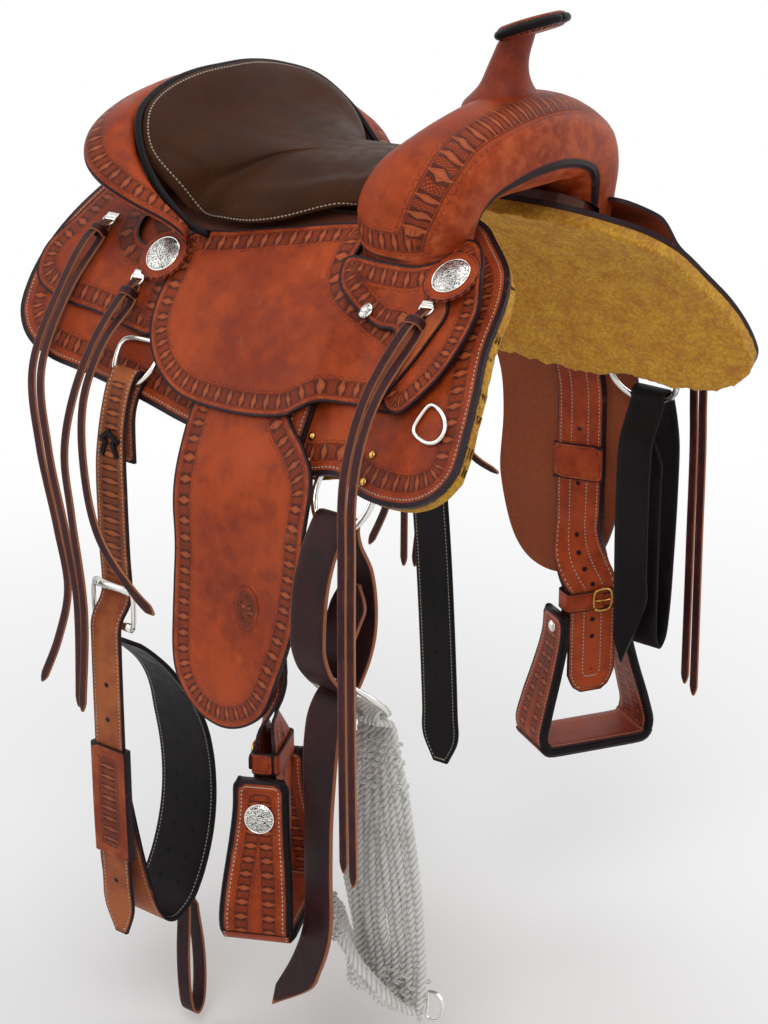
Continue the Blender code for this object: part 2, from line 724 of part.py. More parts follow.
# Ground seat: the shaped strainer under the pad, resting on the bars.
bm = bmesh.new()
ground_rings = []
for i in range(7):
    x = -0.190 + 0.230 * i / 6
    low_row = []
    high_row = []
    for j in range(13):
        y = -0.093 + 0.186 * j / 12
        z = ground_z(x, max(abs(y), 0.060), bar_high + seat_gap + 0.0003)
        low_row.append(Vector((x, y, z)))
        high_row.append(Vector((x, y, z + 0.0035)))
    ground_rings.append(low_row + list(reversed(high_row)))
loft(bm, ground_rings)
add_object("ground_seat", bm, brown)


# Round conchos on scalloped rosettes, each resting on the jockey below it.
def concho(name, side, place, height):
    def top(x, s):
        return ground(side, x, s, height(x, s) + jockey_leather)

    x, s = place
    reach = rosette_radius
    forward = (top(x + reach, s) - top(x - reach, s)).normalized()
    outward = forward.cross(top(x, s + reach) - top(x, s - reach)).normalized() * side
    down = outward.cross(forward) * side
    spots = [top(x + reach * a * cos(tau * k / 24), s + reach * a * sin(tau * k / 24)) for a in (0.5, 1) for k in range(24)]
    point = top(x, s)
    point += outward * (max((spot - point).dot(outward) for spot in spots + [point]) + seat_gap)
    steps = rosette_scallops * 2
    bm = bmesh.new()
    rings = []
    for rise, radius, wave in ((0.0, rosette_radius, 1), (0.003, rosette_radius, 1), (0.0032, concho_radius, 0),
                               (0.0048, concho_radius, 0), (0.0068, concho_radius * 0.66, 0),
                               (0.0076, concho_radius * 0.25, 0)):
        ring = []
        for k in range(steps):
            grow = radius + (0.0016 * wave if k % 2 else 0)
            angle = tau * k / steps
            ring.append(point + outward * rise + (forward * cos(angle) + down * sin(angle)) * grow)
        rings.append(ring)
    loft(bm, rings)
    add_object(name, bm, nickel)


# Rings. The rigging ring lies between fleece and skirt, in the hollow.
def arc_points(centre, right, up, half_width, depth, steps):
    """A dee: a straight bar on top and a round bow below it."""
    points = [centre + right * half_width * (k - 1) for k in range(3)]
    for k in range(1, steps):
        angle = pi * k / steps
        points.append(centre + right * half_width * cos(angle) - up * depth * sin(angle) ** 0.6)
    return points


def arc(centre, first, second, radius, start, end, count=6):
    """Points of a turn, at angles from first towards second."""
    angles = [radians(start + (end - start) * k / count) for k in range(count + 1)]
    return [centre + (first * cos(angle) + second * sin(angle)) * radius for angle in angles]


# The rear dees stand off the skirts by the billet that goes behind them.
dee_bar_s = rear_dee_place[1] - dee_radius * 0.80
dee_depth = dee_radius * 1.75
dee_lift = billet_leather + layer_gap * 3
rear_dee_bow = {}
rear_dee_bar = {}
clip_rise = strap_gap * 2 + string_leather + clip_dee_wire
clip_bow = {}
for tag, side in sides:
    concho("concho_front_" + tag, side, front_concho_place, front_jockey_height)
    concho("concho_rear_" + tag, side, rear_concho_place, seat_jockey_height)

    point, forward, down, outward = frame_at(side, *rigging_place, skirt_low - seat_gap - rigging_wire)
    wire_loop("rigging_ring_" + tag, circle_points(point, forward, down, rigging_ring_radius, 20), outward,
              rigging_wire, nickel)

    point, forward, down, outward = frame_at(side, rear_dee_place[0], dee_bar_s, on_skirt + dee_wire)
    fall = (down * dee_depth + outward * dee_lift).normalized()
    square = (outward * dee_depth - down * dee_lift).normalized()
    rear_dee_bar[side] = Vector((rear_dee_place[0], point.y, point.z))
    wire_loop("rear_dee_" + tag, arc_points(point, forward, -fall, dee_radius, dee_depth, 14), square, dee_wire, nickel,
              rear_dee_bar[side])
    rear_dee_bow[side] = (point + fall * dee_depth, forward, fall, square)

    point, forward, down, outward = frame_at(side, *breast_dee_place, skirt_high + breast_dee_wire + seat_gap)
    bar_run = (forward * 0.46 - down * 0.89).normalized()
    bar_out = (forward * 0.89 + down * 0.46).normalized()
    wire_loop("breast_dee_" + tag, arc_points(point, bar_run, -bar_out, breast_dee_width / 2, breast_dee_depth, 12),
              outward, breast_dee_wire, nickel, point)

    for index, place in enumerate(clip_places):
        under = on_skirt + jockey_leather if index < 2 else front_jockey_height(*place) + jockey_leather
        point, forward, down, outward = frame_at(side, *place, under + clip_rise)
        wire_loop("clip_dee_%s_%d" % (tag, index + 1),
                  arc_points(point, forward, -down, clip_dee_width / 2, clip_dee_depth, 6), outward,
                  clip_dee_wire, nickel, point)
        clip_bow[side, index] = (point, point + down * (clip_dee_depth - 0.001), forward, down, outward)

# Legs: stirrup strap and fender swing as one about the strap's upper turn.
fender_outline = [
    (-0.052, 0.224), (0.050, 0.224), (0.060, 0.262), (0.070, 0.290), (0.103, 0.318), (0.130, 0.353),
    (0.128, 0.41), (0.118, 0.474), (0.100, 0.545), (0.072, 0.600), (0.022, 0.622), (-0.022, 0.611),
    (-0.050, 0.577), (-0.062, 0.506), (-0.058, 0.426), (-0.062, 0.36), (-0.066, 0.305), (-0.060, 0.260)]
leg_row = 0.02

# How the doubled strap turns to face the stirrup's bolt: height, angle, middle
# forward and sideways, and how far the main and the free ply lie from it.
strap_twist = (
    (-0.375, 0, 0.0600, 0.2796, 0.0025, 0.0025),
    (-0.390, 8, 0.0615, 0.2780, 0.0028, 0.0030),
    (-0.410, 28, 0.0645, 0.2775, 0.0040, 0.0050),
    (-0.430, 50, 0.0690, 0.2800, 0.0058, 0.0085),
    (-0.447, 62, 0.0730, 0.2840, 0.0069, 0.0118),
    (-0.472, 62, 0.0730, 0.2840, 0.0069, 0.0118))
twist_rows = smooth_path([Vector((row[0], radians(row[1]) * 0.04, *row[2:])) for row in strap_twist], 0.010)
bolt_turn = stirrup_bolt_radius + strap_gap + stirrup_strap_leather / 2
fender_push = 0.0108


def turned(side, angle):
    """Width direction of the strap at an angle from straight ahead."""
    return Vector((cos(radians(angle)), side * sin(radians(angle)), 0))


def leg_station(side, s, h):
    half = stirrup_strap_width / 2
    wide = (leg_ground(side, leg_x + half, s, h) - leg_ground(side, leg_x - half, s, h)).normalized()
    return leg_ground(side, leg_x, s, h), wide


def twist_station(side, row, ply):
    z, angle, x, y, main, free = row
    wide = turned(side, degrees(angle / 0.04))
    square = Vector((-wide.y * side, wide.x * side, 0))
    offset = main if ply == "main" else -free
    return Vector((x, side * y, z)) + square * offset, wide


for tag, side in sides:
    wide = turned(side, 62)
    front = Vector((wide.y * side, -wide.x * side, 0))
    bolt = Vector((stirrup_centre[0], side * stirrup_centre[1], stirrup_top - 0.018))
    pivot = leg_ground(side, leg_pivot_x, leg_top + 0.012, strap_outer)
    up = Vector((0, 0, 1))

    # The strap runs from its free tip up the inner side, over the top, down
    # the outer side, round the bolt and a little way up again.
    stations = [(bolt + front * strap_twist[-1][5] + up * rise, wide) for rise in (-0.087, -0.057, -0.020, 0.005)]
    stations += [twist_station(side, row, "free") for row in reversed(twist_rows)]
    stations += [leg_station(side, leg_row * k, strap_inner) for k in (26, 20, 19, 18, 17, 14, 11)]
    stations.append(leg_station(side, leg_row * 11 - 0.0025, (strap_inner + strap_outer) / 2))
    stations += [leg_station(side, leg_row * k, strap_outer) for k in (11, 14, 17, 18, 19, 20, 26)]
    stations += [twist_station(side, row, "main") for row in twist_rows]
    stations += [(p, wide) for p in arc(bolt, front, up, bolt_turn, 180, 360)]
    stations.append((bolt + front * bolt_turn + up * 0.016, wide))
    path = smooth_path([Vector((*p, *(a * 0.02))) for p, a in stations], 0.070)
    points = [Vector(p[:3]) for p in path]
    rings = []
    for i, p in enumerate(path):
        run = (points[min(i + 1, len(points) - 1)] - points[max(i - 1, 0)]).normalized()
        across = Vector(p[3:])
        across = (across - run * across.dot(run)).normalized()
        width = stirrup_strap_width * (0.45 if i == 0 else 1)
        half = across * width / 2
        rise = run.cross(across) * stirrup_strap_leather / 2
        ring = [points[i] + half * k - rise for k in (-1, 0, 1)]
        rings.append(ring + [points[i] + half * k + rise for k in (1, 0, -1)])
    bm = bmesh.new()
    loft_strap(bm, rings)
    add_object("stirrup_leather_" + tag, bm, burgundy, pivot)

    def hang(x, s, h, side=side):
        return leg_ground(side, x, s, h + fender_push * ease(s, 0.48, 0.58))

    panel("fender_" + tag, fender_outline, hang, fender_low, fender_high, russet, cell=(0.048, leg_row),
          step=0.025, origin=pivot)

    # Bell-shaped stirrup with a flat tread and its bolt.
    profile = [(stirrup_ear_half, 0.0), (stirrup_ear_half + 0.001, 0.030), (stirrup_ear_half + 0.010, 0.070),
               (stirrup_half_width - 0.006, 0.120), (stirrup_half_width, 0.150), (stirrup_half_width - 0.006, 0.166),
               (stirrup_half_width - 0.022, stirrup_drop - stirrup_wall / 2), (0.0, stirrup_drop - stirrup_wall / 2)]
    profile += [(-w, d) for w, d in reversed(profile[:-1])]
    path = smooth_path([Vector((w, d, 0)) for w, d in profile], 0.022)
    tread_y = stirrup_drop - stirrup_wall / 2
    for p in path:
        if abs(p.x) < stirrup_half_width - 0.021 and p.y > tread_y - 0.02:
            p.y = tread_y
    rings = []
    head = Vector((stirrup_centre[0], side * stirrup_centre[1], stirrup_top))
    for i, p in enumerate(path):
        run = (path[min(i + 1, len(path) - 1)] - path[max(i - 1, 0)]).normalized()
        out = Vector((run.y, -run.x, 0))
        depth = stirrup_top_depth + (stirrup_tread_depth - stirrup_top_depth) * ease(p.y, 0.02, 0.15)
        ring = []
        for a, b in ((-1, -1), (-1, 1), (1, 1), (1, -1)):
            flat = p + out * stirrup_wall / 2 * a
            ring.append(head + wide * flat.x - Vector((0, 0, flat.y)) + front * depth / 2 * b)
        rings.append(ring)
    bm = bmesh.new()
    loft(bm, rings)
    frame = add_object("stirrup_" + tag, bm, russet, bolt)
    bm = bmesh.new()
    span = stirrup_ear_half + stirrup_wall / 2 + 0.004
    loft(bm, [circle_points(bolt + wide * w, front, up, stirrup_bolt_radius, 12) for w in (-span, span)])
    merge_into(frame, add_object("stirrup_bolt_" + tag, bm, nickel, bolt))

    # The hobble strap holds the turned leathers together above the stirrup.
    plies = strap_twist[-1][4] + strap_twist[-1][5] + stirrup_strap_leather
    middle = bolt + front * (strap_twist[-1][5] - strap_twist[-1][4]) / 2
    middle.z = stirrup_top + hobble_width / 2 + 0.0025
    corner = 0.002
    rings = []
    for grow, rise in ((0, -0.5), (0, 0.5), (hobble_leather, 0.5), (hobble_leather, -0.5)):
        ring = []
        for a, b, start in ((1, 1, 0), (-1, 1, 90), (-1, -1, 180), (1, -1, 270)):
            spot = middle + wide * a * (stirrup_strap_width / 2 + layer_gap * 1.6 - corner)
            spot += front * b * (plies / 2 + layer_gap * 1.6 - corner) + up * rise * hobble_width
            ring += arc(spot, wide, front, corner + grow, start, start + 90, 2)
        rings.append(ring)
    bm = bmesh.new()
    loft(bm, rings, closed_path=True)
    add_object("hobble_strap_" + tag, bm, russet, pivot)


# Straps that hang from the rigging. Routes give sideways and up, and forward
# where it differs.
def hang_path(side, x, points, step=0.02):
    return smooth_path([p if isinstance(p, Vector) else Vector((p[2] if len(p) > 2 else x, side * p[0], p[1]))
                        for p in points], step)


def ring_turn(side, back, radius):
    """Half turn over the low bar of a rigging ring, from inside to outside."""
    point, forward, down, outward = frame_at(side, *rigging_place, skirt_low - seat_gap - rigging_wire)
    low = point + down * rigging_ring_radius
    down = (down - along * down.x).normalized()
    outward = (outward - along * outward.x).normalized()
    return arc(low - down * back, -outward, -down, radius, 0, 180)


ring_slack = rigging_ring_radius - sqrt(rigging_ring_radius**2 - (latigo_width / 2) ** 2)
ring_low = ring_turn(1, 0, 0)[0]
ring_x = ring_low.x - 0.0018
turn_radius = rigging_wire + strap_gap * 5 + billet_leather / 2
off_pin = Vector((ring_x, -ring_low.y, ring_low.z))
near_pin = Vector((ring_x, ring_low.y - 0.0062, ring_low.z))

# The first cinch ring, which the off latigo goes round.
ring_a = Vector((ring_x, -0.257, -0.385))
lean_a = Vector((0, -0.72, 0.69)).normalized()
face_a = Vector((0, -0.69, -0.72)).normalized()
wire_loop("cinch_ring_1", circle_points(ring_a, along, lean_a, cinch_ring_radius, 20), face_a, cinch_wire, nickel, off_pin)
curl = cinch_wire + strap_gap * 2 + billet_leather / 2
slack_a = cinch_ring_radius - sqrt(cinch_ring_radius**2 - (latigo_width / 2) ** 2)
curl_centre = ring_a + lean_a * (cinch_ring_radius - slack_a - 0.0005)

# Off latigo: tail, through the cinch ring, up inside, over the rigging ring,
# down outside, round the cinch ring and up inside again.
off_route = [(0.325, -0.742, 0.115), (0.314, -0.690, 0.141), (0.306, -0.640, 0.155), (0.303, -0.560, 0.155),
             (0.302, -0.480, 0.156), (0.300, -0.425), (0.294, -0.398), (0.283, -0.382), (0.268, -0.370), (0.253, -0.350),
             (0.241, -0.322), (0.2385, -0.285), (0.246, -0.245), (0.262, -0.215)]
off_route += ring_turn(-1, ring_slack + 0.0030, turn_radius)
off_route += [(0.300, -0.215), (0.313, -0.250), (0.318, -0.290), (0.318, -0.315), (0.309, -0.340)]
off_route.append(curl_centre + face_a * curl + lean_a * 0.0075)
off_route += arc(curl_centre, face_a, -lean_a, curl, 0, 180)
off_route.append(curl_centre - face_a * curl + lean_a * 0.0075)
off_route += [(0.285, -0.335), (0.272, -0.312), (0.256, -0.285), (0.2515, -0.262)]
tail_across = Vector((cos(radians(12)), -sin(radians(12)), 0))
strap("off_latigo", hang_path(-1, ring_x, off_route), lambda t: tail_across.lerp(along, ease(t, 0.24, 0.36)),
      tapered(latigo_width, 0.5, 0.02, 0.03), billet_leather, burgundy, off_pin)

# The rope cinch hangs in a bight between its two rings.
see = Vector((-0.55, 0.83, 0)).normalized()
ring_b = Vector((0.118, -0.262, -0.572))
ring_b_radius = 0.030
down_z = Vector((0, 0, -1))
wire_loop("cinch_ring_2", circle_points(ring_b, see, down_z, ring_b_radius, 16), see.cross(down_z), cinch_wire, nickel,
          off_pin)
low_a = ring_a - lean_a * (cinch_ring_radius + cinch_wire + strap_gap / 2)
low_b = ring_b + down_z * (ring_b_radius + cinch_wire + strap_gap / 2)
cinch_route = [low_a, low_a - lean_a * 0.012, Vector((0.159, -0.212, -0.470)), Vector((0.160, -0.212, -0.560)),
               Vector((0.160, -0.203, -0.660)), Vector((0.158, -0.192, -0.730)), Vector((0.157, -0.197, -0.768)),
               Vector((0.155, -0.215, -0.752)), Vector((0.143, -0.232, -0.705)), Vector((0.130, -0.248, -0.655)),
               low_b + down_z * 0.012, low_b]
cinch_path = smooth_path(cinch_route, 0.028)
rings = []
for i, point in enumerate(cinch_path):
    t = i / (len(cinch_path) - 1)
    run = (cinch_path[min(i + 1, len(cinch_path) - 1)] - cinch_path[max(i - 1, 0)]).normalized()
    wide = along.lerp(-see, ease(t, 0.62, 0.95)).normalized()
    wide = (wide - run * wide.dot(run)).normalized()
    rise = run.cross(wide)
    width = cinch_end_width + (cinch_width - cinch_end_width) * ease(t, 0.0, 0.35) * (1 - ease(t, 0.62, 0.98))
    ring = []
    for k in range(8):
        angle = tau * k / 8 + pi / 8
        c = cos(angle)
        s = sin(angle)
        ring.append(point + wide * width / 2 * abs(c) ** 0.5 * (1 if c > 0 else -1)
                    + rise * cinch_thickness / 2 * abs(s) ** 0.8 * (1 if s > 0 else -1))
    rings.append(ring)
bm = bmesh.new()
loft(bm, rings)
add_object("front_cinch", bm, rope_white, off_pin)

# Near latigo: folded up in a flat bundle through the near ring.
near_route = [(0.252, -0.520), (0.250, -0.460), (0.247, -0.380), (0.246, -0.300), (0.250, -0.240), (0.262, -0.214)]
near_route += ring_turn(1, ring_slack + 0.0041, turn_radius)
near_route += [(0.297, -0.215), (0.305, -0.250), (0.306, -0.320), (0.303, -0.400), (0.299, -0.460), (0.292, -0.494),
               (0.283, -0.502), (0.275, -0.492), (0.272, -0.430), (0.271, -0.350), (0.271, -0.270), (0.272, -0.245)]
strap("near_latigo", hang_path(1, ring_x, near_route, 0.026), along, tapered(latigo_width, 0.5, 0.02, 0.03),
      billet_leather, black, near_pin)

# Rear billets over the rear dees, the roller buckle and the flank cinch.
dee_curl = dee_wire + strap_gap * 2.5 + billet_leather / 2
rear_x = rear_dee_place[0]


def dee_turn(side):
    """Half turn over the bow of a rear dee, from inside to outside."""
    bow, forward, fall, square = rear_dee_bow[side]
    fall = (fall - along * fall.x).normalized()
    square = (square - along * square.x).normalized()
    centre = bow - fall * 0.0085
    centre.x = rear_x
    return arc(centre, -square, -fall, dee_curl, 0, 180)


def billet_width_at(width, end):
    """Narrow where it folds over the dee, full width below it."""
    tail = tapered(width, 0.4, end)
    return lambda t: min(tail(t), 0.038 + (width - 0.038) * ease(t, 0.19, 0.30))


buckle_y = 0.2705
buckle_z = -0.366
roller_z = buckle_z - buckle_drop
inner_leg = [(0.248, -0.205), (0.2482, -0.180), (0.2474, -0.155), (0.2445, -0.142), (0.2388, -0.130)]
off_billet_route = inner_leg + dee_turn(-1)
off_billet_route += [(0.2495, -0.122), (0.256, -0.140), (0.262, -0.165), (0.266, -0.200), (0.2665, -0.260), (0.2655, -0.310),
                     (0.2642, -0.332), (0.264, -0.345), (0.2655, -0.357), (0.271, -0.367), (0.278, -0.3745),
                     (0.283, -0.386), (0.2838, -0.410), (0.284, -0.520), (0.2835, -0.620), (0.281, -0.700), (0.277, -0.769)]
strap("off_billet", hang_path(-1, rear_x, off_billet_route, 0.04), along, billet_width_at(billet_width, 0.025),
      billet_leather, russet, rear_dee_bar[-1])
near_billet_route = [(0.2455, -0.152)] + inner_leg[-2:] + dee_turn(1)
near_billet_route += [(0.2495, -0.122), (0.2540, -0.140), (0.2525, -0.165, -0.169), (0.2490, -0.200, -0.166),
                      (0.2465, -0.260, -0.157), (0.245, -0.320, -0.148), (0.2445, -0.440, -0.136), (0.2445, -0.560, -0.128),
                      (0.2445, -0.660, -0.123), (0.2445, -0.730, -0.121)]
strap("near_billet", hang_path(1, rear_x, near_billet_route, 0.04), along, billet_width_at(near_billet_width, 0.03),
      billet_leather, black, rear_dee_bar[1])

buckle = Vector((rear_x, -buckle_y, buckle_z))
corners = []
for a, b, start in ((1, 1, 0), (-1, 1, 90), (-1, -1, 180), (1, -1, 270)):
    spot = buckle + Vector((a * (buckle_half - 0.006), 0, b * (buckle_drop - 0.006)))
    corners += arc(spot, along, -down_z, 0.006, start, start + 90, 2)
wire_loop("roller_buckle", corners, Vector((0, 1, 0)), buckle_wire, nickel, rear_dee_bar[-1])
flank_curl = buckle_wire + strap_gap * 1.6 + flank_leather / 2
roller = Vector((rear_x, -buckle_y, roller_z))
flank_route = [(0.264, -0.420), (0.2642, -0.400)]
flank_route += arc(roller, Vector((0, 1, 0)), Vector((0, 0, 1)), flank_curl, 0, 180)
flank_route += [(0.2768, -0.400), (0.2772, -0.440), (0.2775, -0.520), (0.277, -0.600), (0.272, -0.680),
                (0.255, -0.738), (0.232, -0.757), (0.205, -0.745), (0.178, -0.700), (0.163, -0.640), (0.165, -0.570),
                (0.185, -0.500), (0.215, -0.452), (0.242, -0.425), (0.255, -0.414)]


def flank_taper(t):
    wide = ease(t, 0.09, 0.26) * (1 - ease(t, 0.80, 0.94))
    return flank_end_width + (flank_width - flank_end_width) * wide


strap("flank_cinch", hang_path(-1, rear_x, flank_route, 0.03), along, flank_taper, flank_leather, russet, rear_dee_bar[-1])

# Connecting strap: a loop that hangs from the bottom of the flank cinch.
connect_x = rear_x + 0.022
connect_route = [(0.198, -0.7440), (0.1985, -0.775), (0.2015, -0.820), (0.2005, -0.870), (0.1955, -0.898), (0.1875, -0.905),
                 (0.180, -0.896), (0.1755, -0.868), (0.1765, -0.820), (0.183, -0.775), (0.186, -0.752)]
strap("connecting_strap", hang_path(-1, connect_x, connect_route, 0.024), along, connector_width, 0.003, burgundy,
      (connect_x, -0.190, -0.750))

# Saddle strings: a thong through each clip dee, with two tails that hang. Each
# tail gives forward, sideways and up, from the dee to its end.
string_tails = (
    (((-0.305, 0.205, -0.045), (-0.3055, 0.250, -0.125), (-0.273, 0.275, -0.203), (-0.244, 0.281, -0.291),
      (-0.229, 0.283, -0.3585), (-0.245, 0.285, -0.420), (-0.275, 0.286, -0.482)),
     ((-0.291, 0.205, -0.045), (-0.2915, 0.250, -0.125), (-0.259, 0.275, -0.203), (-0.231, 0.281, -0.291),
      (-0.216, 0.283, -0.3585), (-0.2145, 0.283, -0.400), (-0.2165, 0.285, -0.497))),
    (((-0.216, 0.240, -0.080), (-0.223, 0.268, -0.139), (-0.228, 0.280, -0.2015), (-0.218, 0.283, -0.270),
      (-0.1946, 0.292, -0.372), (-0.204, 0.292, -0.497)),
     ((-0.202, 0.240, -0.080), (-0.207, 0.268, -0.139), (-0.1946, 0.283, -0.216), (-0.1655, 0.292, -0.282),
      (-0.1127, 0.295, -0.330), (-0.078, 0.300, -0.345))),
    (((0.176, 0.243, -0.055), (0.181, 0.275, -0.095), (0.192, 0.303, -0.140), (0.196, 0.310, -0.220),
      (0.197, 0.312, -0.380), (0.198, 0.312, -0.553)),
     ((0.190, 0.245, -0.058), (0.194, 0.277, -0.098), (0.205, 0.304, -0.142), (0.208, 0.310, -0.220),
      (0.209, 0.312, -0.380), (0.211, 0.312, -0.565))))
string_turn = clip_dee_wire + strap_gap + string_leather / 2
for tag, side in sides:
    for index, place in enumerate(clip_places):
        point, bow, forward, down, outward = clip_bow[side, index]
        first, second = [[Vector((p[0], side * p[1], p[2])) for p in tail] for tail in string_tails[index]]
        turn = arc(bow - down * 0.0012, outward, -down, string_turn, 0, 180)
        route = list(reversed(first))
        route.append(bow + outward * (string_turn + 0.0055) + down * 0.022 - forward * 0.0035)
        route += turn
        route.append(bow - outward * (string_turn - 0.0004) + down * 0.010 + forward * 0.002)
        route.append(bow - outward * (string_turn - 0.0008) + down * 0.022 + forward * 0.0045)
        route += second
        strap("saddle_string_%s_%d" % (tag, index + 1), smooth_path(route, 0.05), forward, string_width,
              string_leather, burgundy, point)
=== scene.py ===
# The dressed western trail saddle: tooled leather, fleece, rope and plated
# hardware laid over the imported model.
import json
import bpy
import bmesh
import numpy as np
from math import asin, ceil, cos, degrees, pi, radians, sin, sqrt, tau
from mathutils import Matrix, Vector, noise

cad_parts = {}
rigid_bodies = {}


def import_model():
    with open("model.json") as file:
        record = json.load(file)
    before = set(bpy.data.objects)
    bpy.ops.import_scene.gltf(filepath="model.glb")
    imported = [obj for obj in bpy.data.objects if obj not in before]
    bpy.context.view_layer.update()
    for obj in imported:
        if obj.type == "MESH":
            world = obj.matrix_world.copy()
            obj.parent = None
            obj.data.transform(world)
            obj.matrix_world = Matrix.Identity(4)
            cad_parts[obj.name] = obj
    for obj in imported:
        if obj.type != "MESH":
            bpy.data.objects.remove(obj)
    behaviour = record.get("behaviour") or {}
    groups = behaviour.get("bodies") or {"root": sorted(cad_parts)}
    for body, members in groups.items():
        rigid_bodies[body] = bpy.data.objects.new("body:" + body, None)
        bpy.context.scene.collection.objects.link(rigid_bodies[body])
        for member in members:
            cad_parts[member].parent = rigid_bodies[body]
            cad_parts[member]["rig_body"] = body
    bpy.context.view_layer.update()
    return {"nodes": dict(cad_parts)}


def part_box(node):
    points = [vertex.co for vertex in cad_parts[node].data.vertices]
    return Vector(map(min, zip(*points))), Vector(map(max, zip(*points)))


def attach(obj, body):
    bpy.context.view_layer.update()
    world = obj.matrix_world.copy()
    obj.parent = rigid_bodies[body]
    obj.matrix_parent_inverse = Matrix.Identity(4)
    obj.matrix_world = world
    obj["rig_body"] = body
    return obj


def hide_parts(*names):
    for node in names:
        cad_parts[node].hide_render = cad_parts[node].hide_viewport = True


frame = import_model()
nodes = frame["nodes"]
sides = (("off", -1), ("near", 1))


# Camera: the photograph's three-quarter view from the off side
cameraSettings = {
    "turn": radians(40.0), "height": radians(20.0), "distance": 2.85, "lens": 89.3,
    "sideways": -0.008, "up": -0.294,
}


def setCamera(settings):
    turn, height = settings["turn"], settings["height"]
    back = Vector((sin(turn) * cos(height), -cos(turn) * cos(height), sin(height)))
    target = Vector((settings["sideways"] * cos(turn), settings["sideways"] * sin(turn), settings["up"]))
    camera = bpy.data.objects.new("camera", bpy.data.cameras.new("camera"))
    camera.data.lens = settings["lens"]
    camera.location = target + back * settings["distance"]
    camera.rotation_mode = "QUATERNION"
    camera.rotation_quaternion = back.to_track_quat("Z", "Y")
    bpy.context.scene.collection.objects.link(camera)
    bpy.context.scene.camera = camera


setCamera(cameraSettings)
print("camera set")


# Shader maths: a socket that adds, takes away and multiplies like a number.
class Signal:
    def __init__(self, finish, socket):
        self.finish = finish
        self.socket = socket

    def maths(self, operation, *others, first=None):
        values = (self, *others) if first is None else (first, self)
        return self.finish.add("ShaderNodeMath", {"operation": operation}, dict(enumerate(values))).out(0)

    def __add__(self, other):
        return self.maths("ADD", other)

    def __radd__(self, other):
        return self.maths("ADD", first=other)

    def __sub__(self, other):
        return self.maths("SUBTRACT", other)

    def __rsub__(self, other):
        return self.maths("SUBTRACT", first=other)

    def __mul__(self, other):
        return self.maths("MULTIPLY", other)

    def __rmul__(self, other):
        return self.maths("MULTIPLY", first=other)

    def __truediv__(self, other):
        return self.maths("DIVIDE", other)

    def most(self, other):
        return self.maths("MAXIMUM", other)

    def below(self, edge, soft):
        return self.finish.ramp(self, edge - soft, edge + soft, 1, 0)

    def above(self, edge, soft):
        return self.finish.ramp(self, edge - soft, edge + soft, 0, 1)

    def near(self, place, half, soft):
        return (self - place).maths("ABSOLUTE").below(half, soft)

    def phase(self, period):
        return (self / period).maths("FRACT")


class Made:
    def __init__(self, finish, node):
        self.finish = finish
        self.node = node

    def out(self, which):
        return Signal(self.finish, self.node.outputs[which])


class Finish:
    def __init__(self, name):
        self.material = bpy.data.materials.new(name)
        self.material.use_nodes = True
        self.tree = self.material.node_tree
        self.shader = self.tree.nodes["Principled BSDF"]

    def add(self, kind, settings=None, values=None):
        node = self.tree.nodes.new(kind)
        for key, value in (settings or {}).items():
            setattr(node, key, value)
        for key, value in (values or {}).items():
            self.feed(node.inputs[key], value)
        return Made(self, node)

    def feed(self, socket, value):
        if isinstance(value, Signal):
            self.tree.links.new(value.socket, socket)
        else:
            socket.default_value = value

    def ramp(self, value, fromLow, fromHigh, toLow, toHigh):
        made = self.add("ShaderNodeMapRange", {"interpolation_type": "SMOOTHSTEP", "clamp": True},
                        {0: value, 1: fromLow, 2: fromHigh, 3: toLow, 4: toHigh})
        return made.out(0)

    def mix(self, factor, first, second):
        made = self.add("ShaderNodeMix", {"data_type": "RGBA"}, {0: factor})
        for index, value in ((6, first), (7, second)):
            self.feed(made.node.inputs[index], value if isinstance(value, Signal) else (*value, 1))
        return made.out(2)

    def speckle(self, scale, detail=4.0, rough=0.55, place=None, distort=0.0):
        values = {"Scale": scale, "Detail": detail, "Roughness": rough, "Distortion": distort}
        if place is not None:
            values["Vector"] = place
        return self.add("ShaderNodeTexNoise", {}, values).out(0)

    def cells(self, scale, place, feature="F1", wander=1.0):
        values = {"Scale": scale, "Vector": place, "Randomness": wander}
        return self.add("ShaderNodeTexVoronoi", {"feature": feature}, values).out(0)

    def place(self):
        return self.add("ShaderNodeTexCoord").out("Object")

    def map(self, name):
        parts = self.add("ShaderNodeSeparateXYZ", {},
                         {0: self.add("ShaderNodeUVMap", {"uv_map": name}).out(0)})
        return parts.out(0), parts.out(1)

    def bump(self, height, distance, strength=1.0, below=None):
        values = {"Height": height, "Distance": distance, "Strength": strength}
        if below is not None:
            values["Normal"] = below
        return self.add("ShaderNodeBump", {}, values).out(0)

    def set(self, **values):
        names = {"colour": "Base Color", "rough": "Roughness", "metal": "Metallic", "normal": "Normal",
                 "coat": "Coat Weight", "coatRough": "Coat Roughness", "sheen": "Sheen Weight",
                 "sheenRough": "Sheen Roughness", "alpha": "Alpha"}
        for key, value in values.items():
            if key == "colour" and not isinstance(value, Signal):
                value = (*value, 1)
            self.feed(self.shader.inputs[names[key]], value)
        return self.material


class Sky(Finish):
    def __init__(self, world):
        world.use_nodes = True
        self.tree = world.node_tree
        self.tree.nodes.clear()


def shade(red, green, blue):
    return tuple(((c / 255 + 0.055) / 1.055) ** 2.4 if c > 10 else c / 255 / 12.92
                 for c in (red, green, blue))


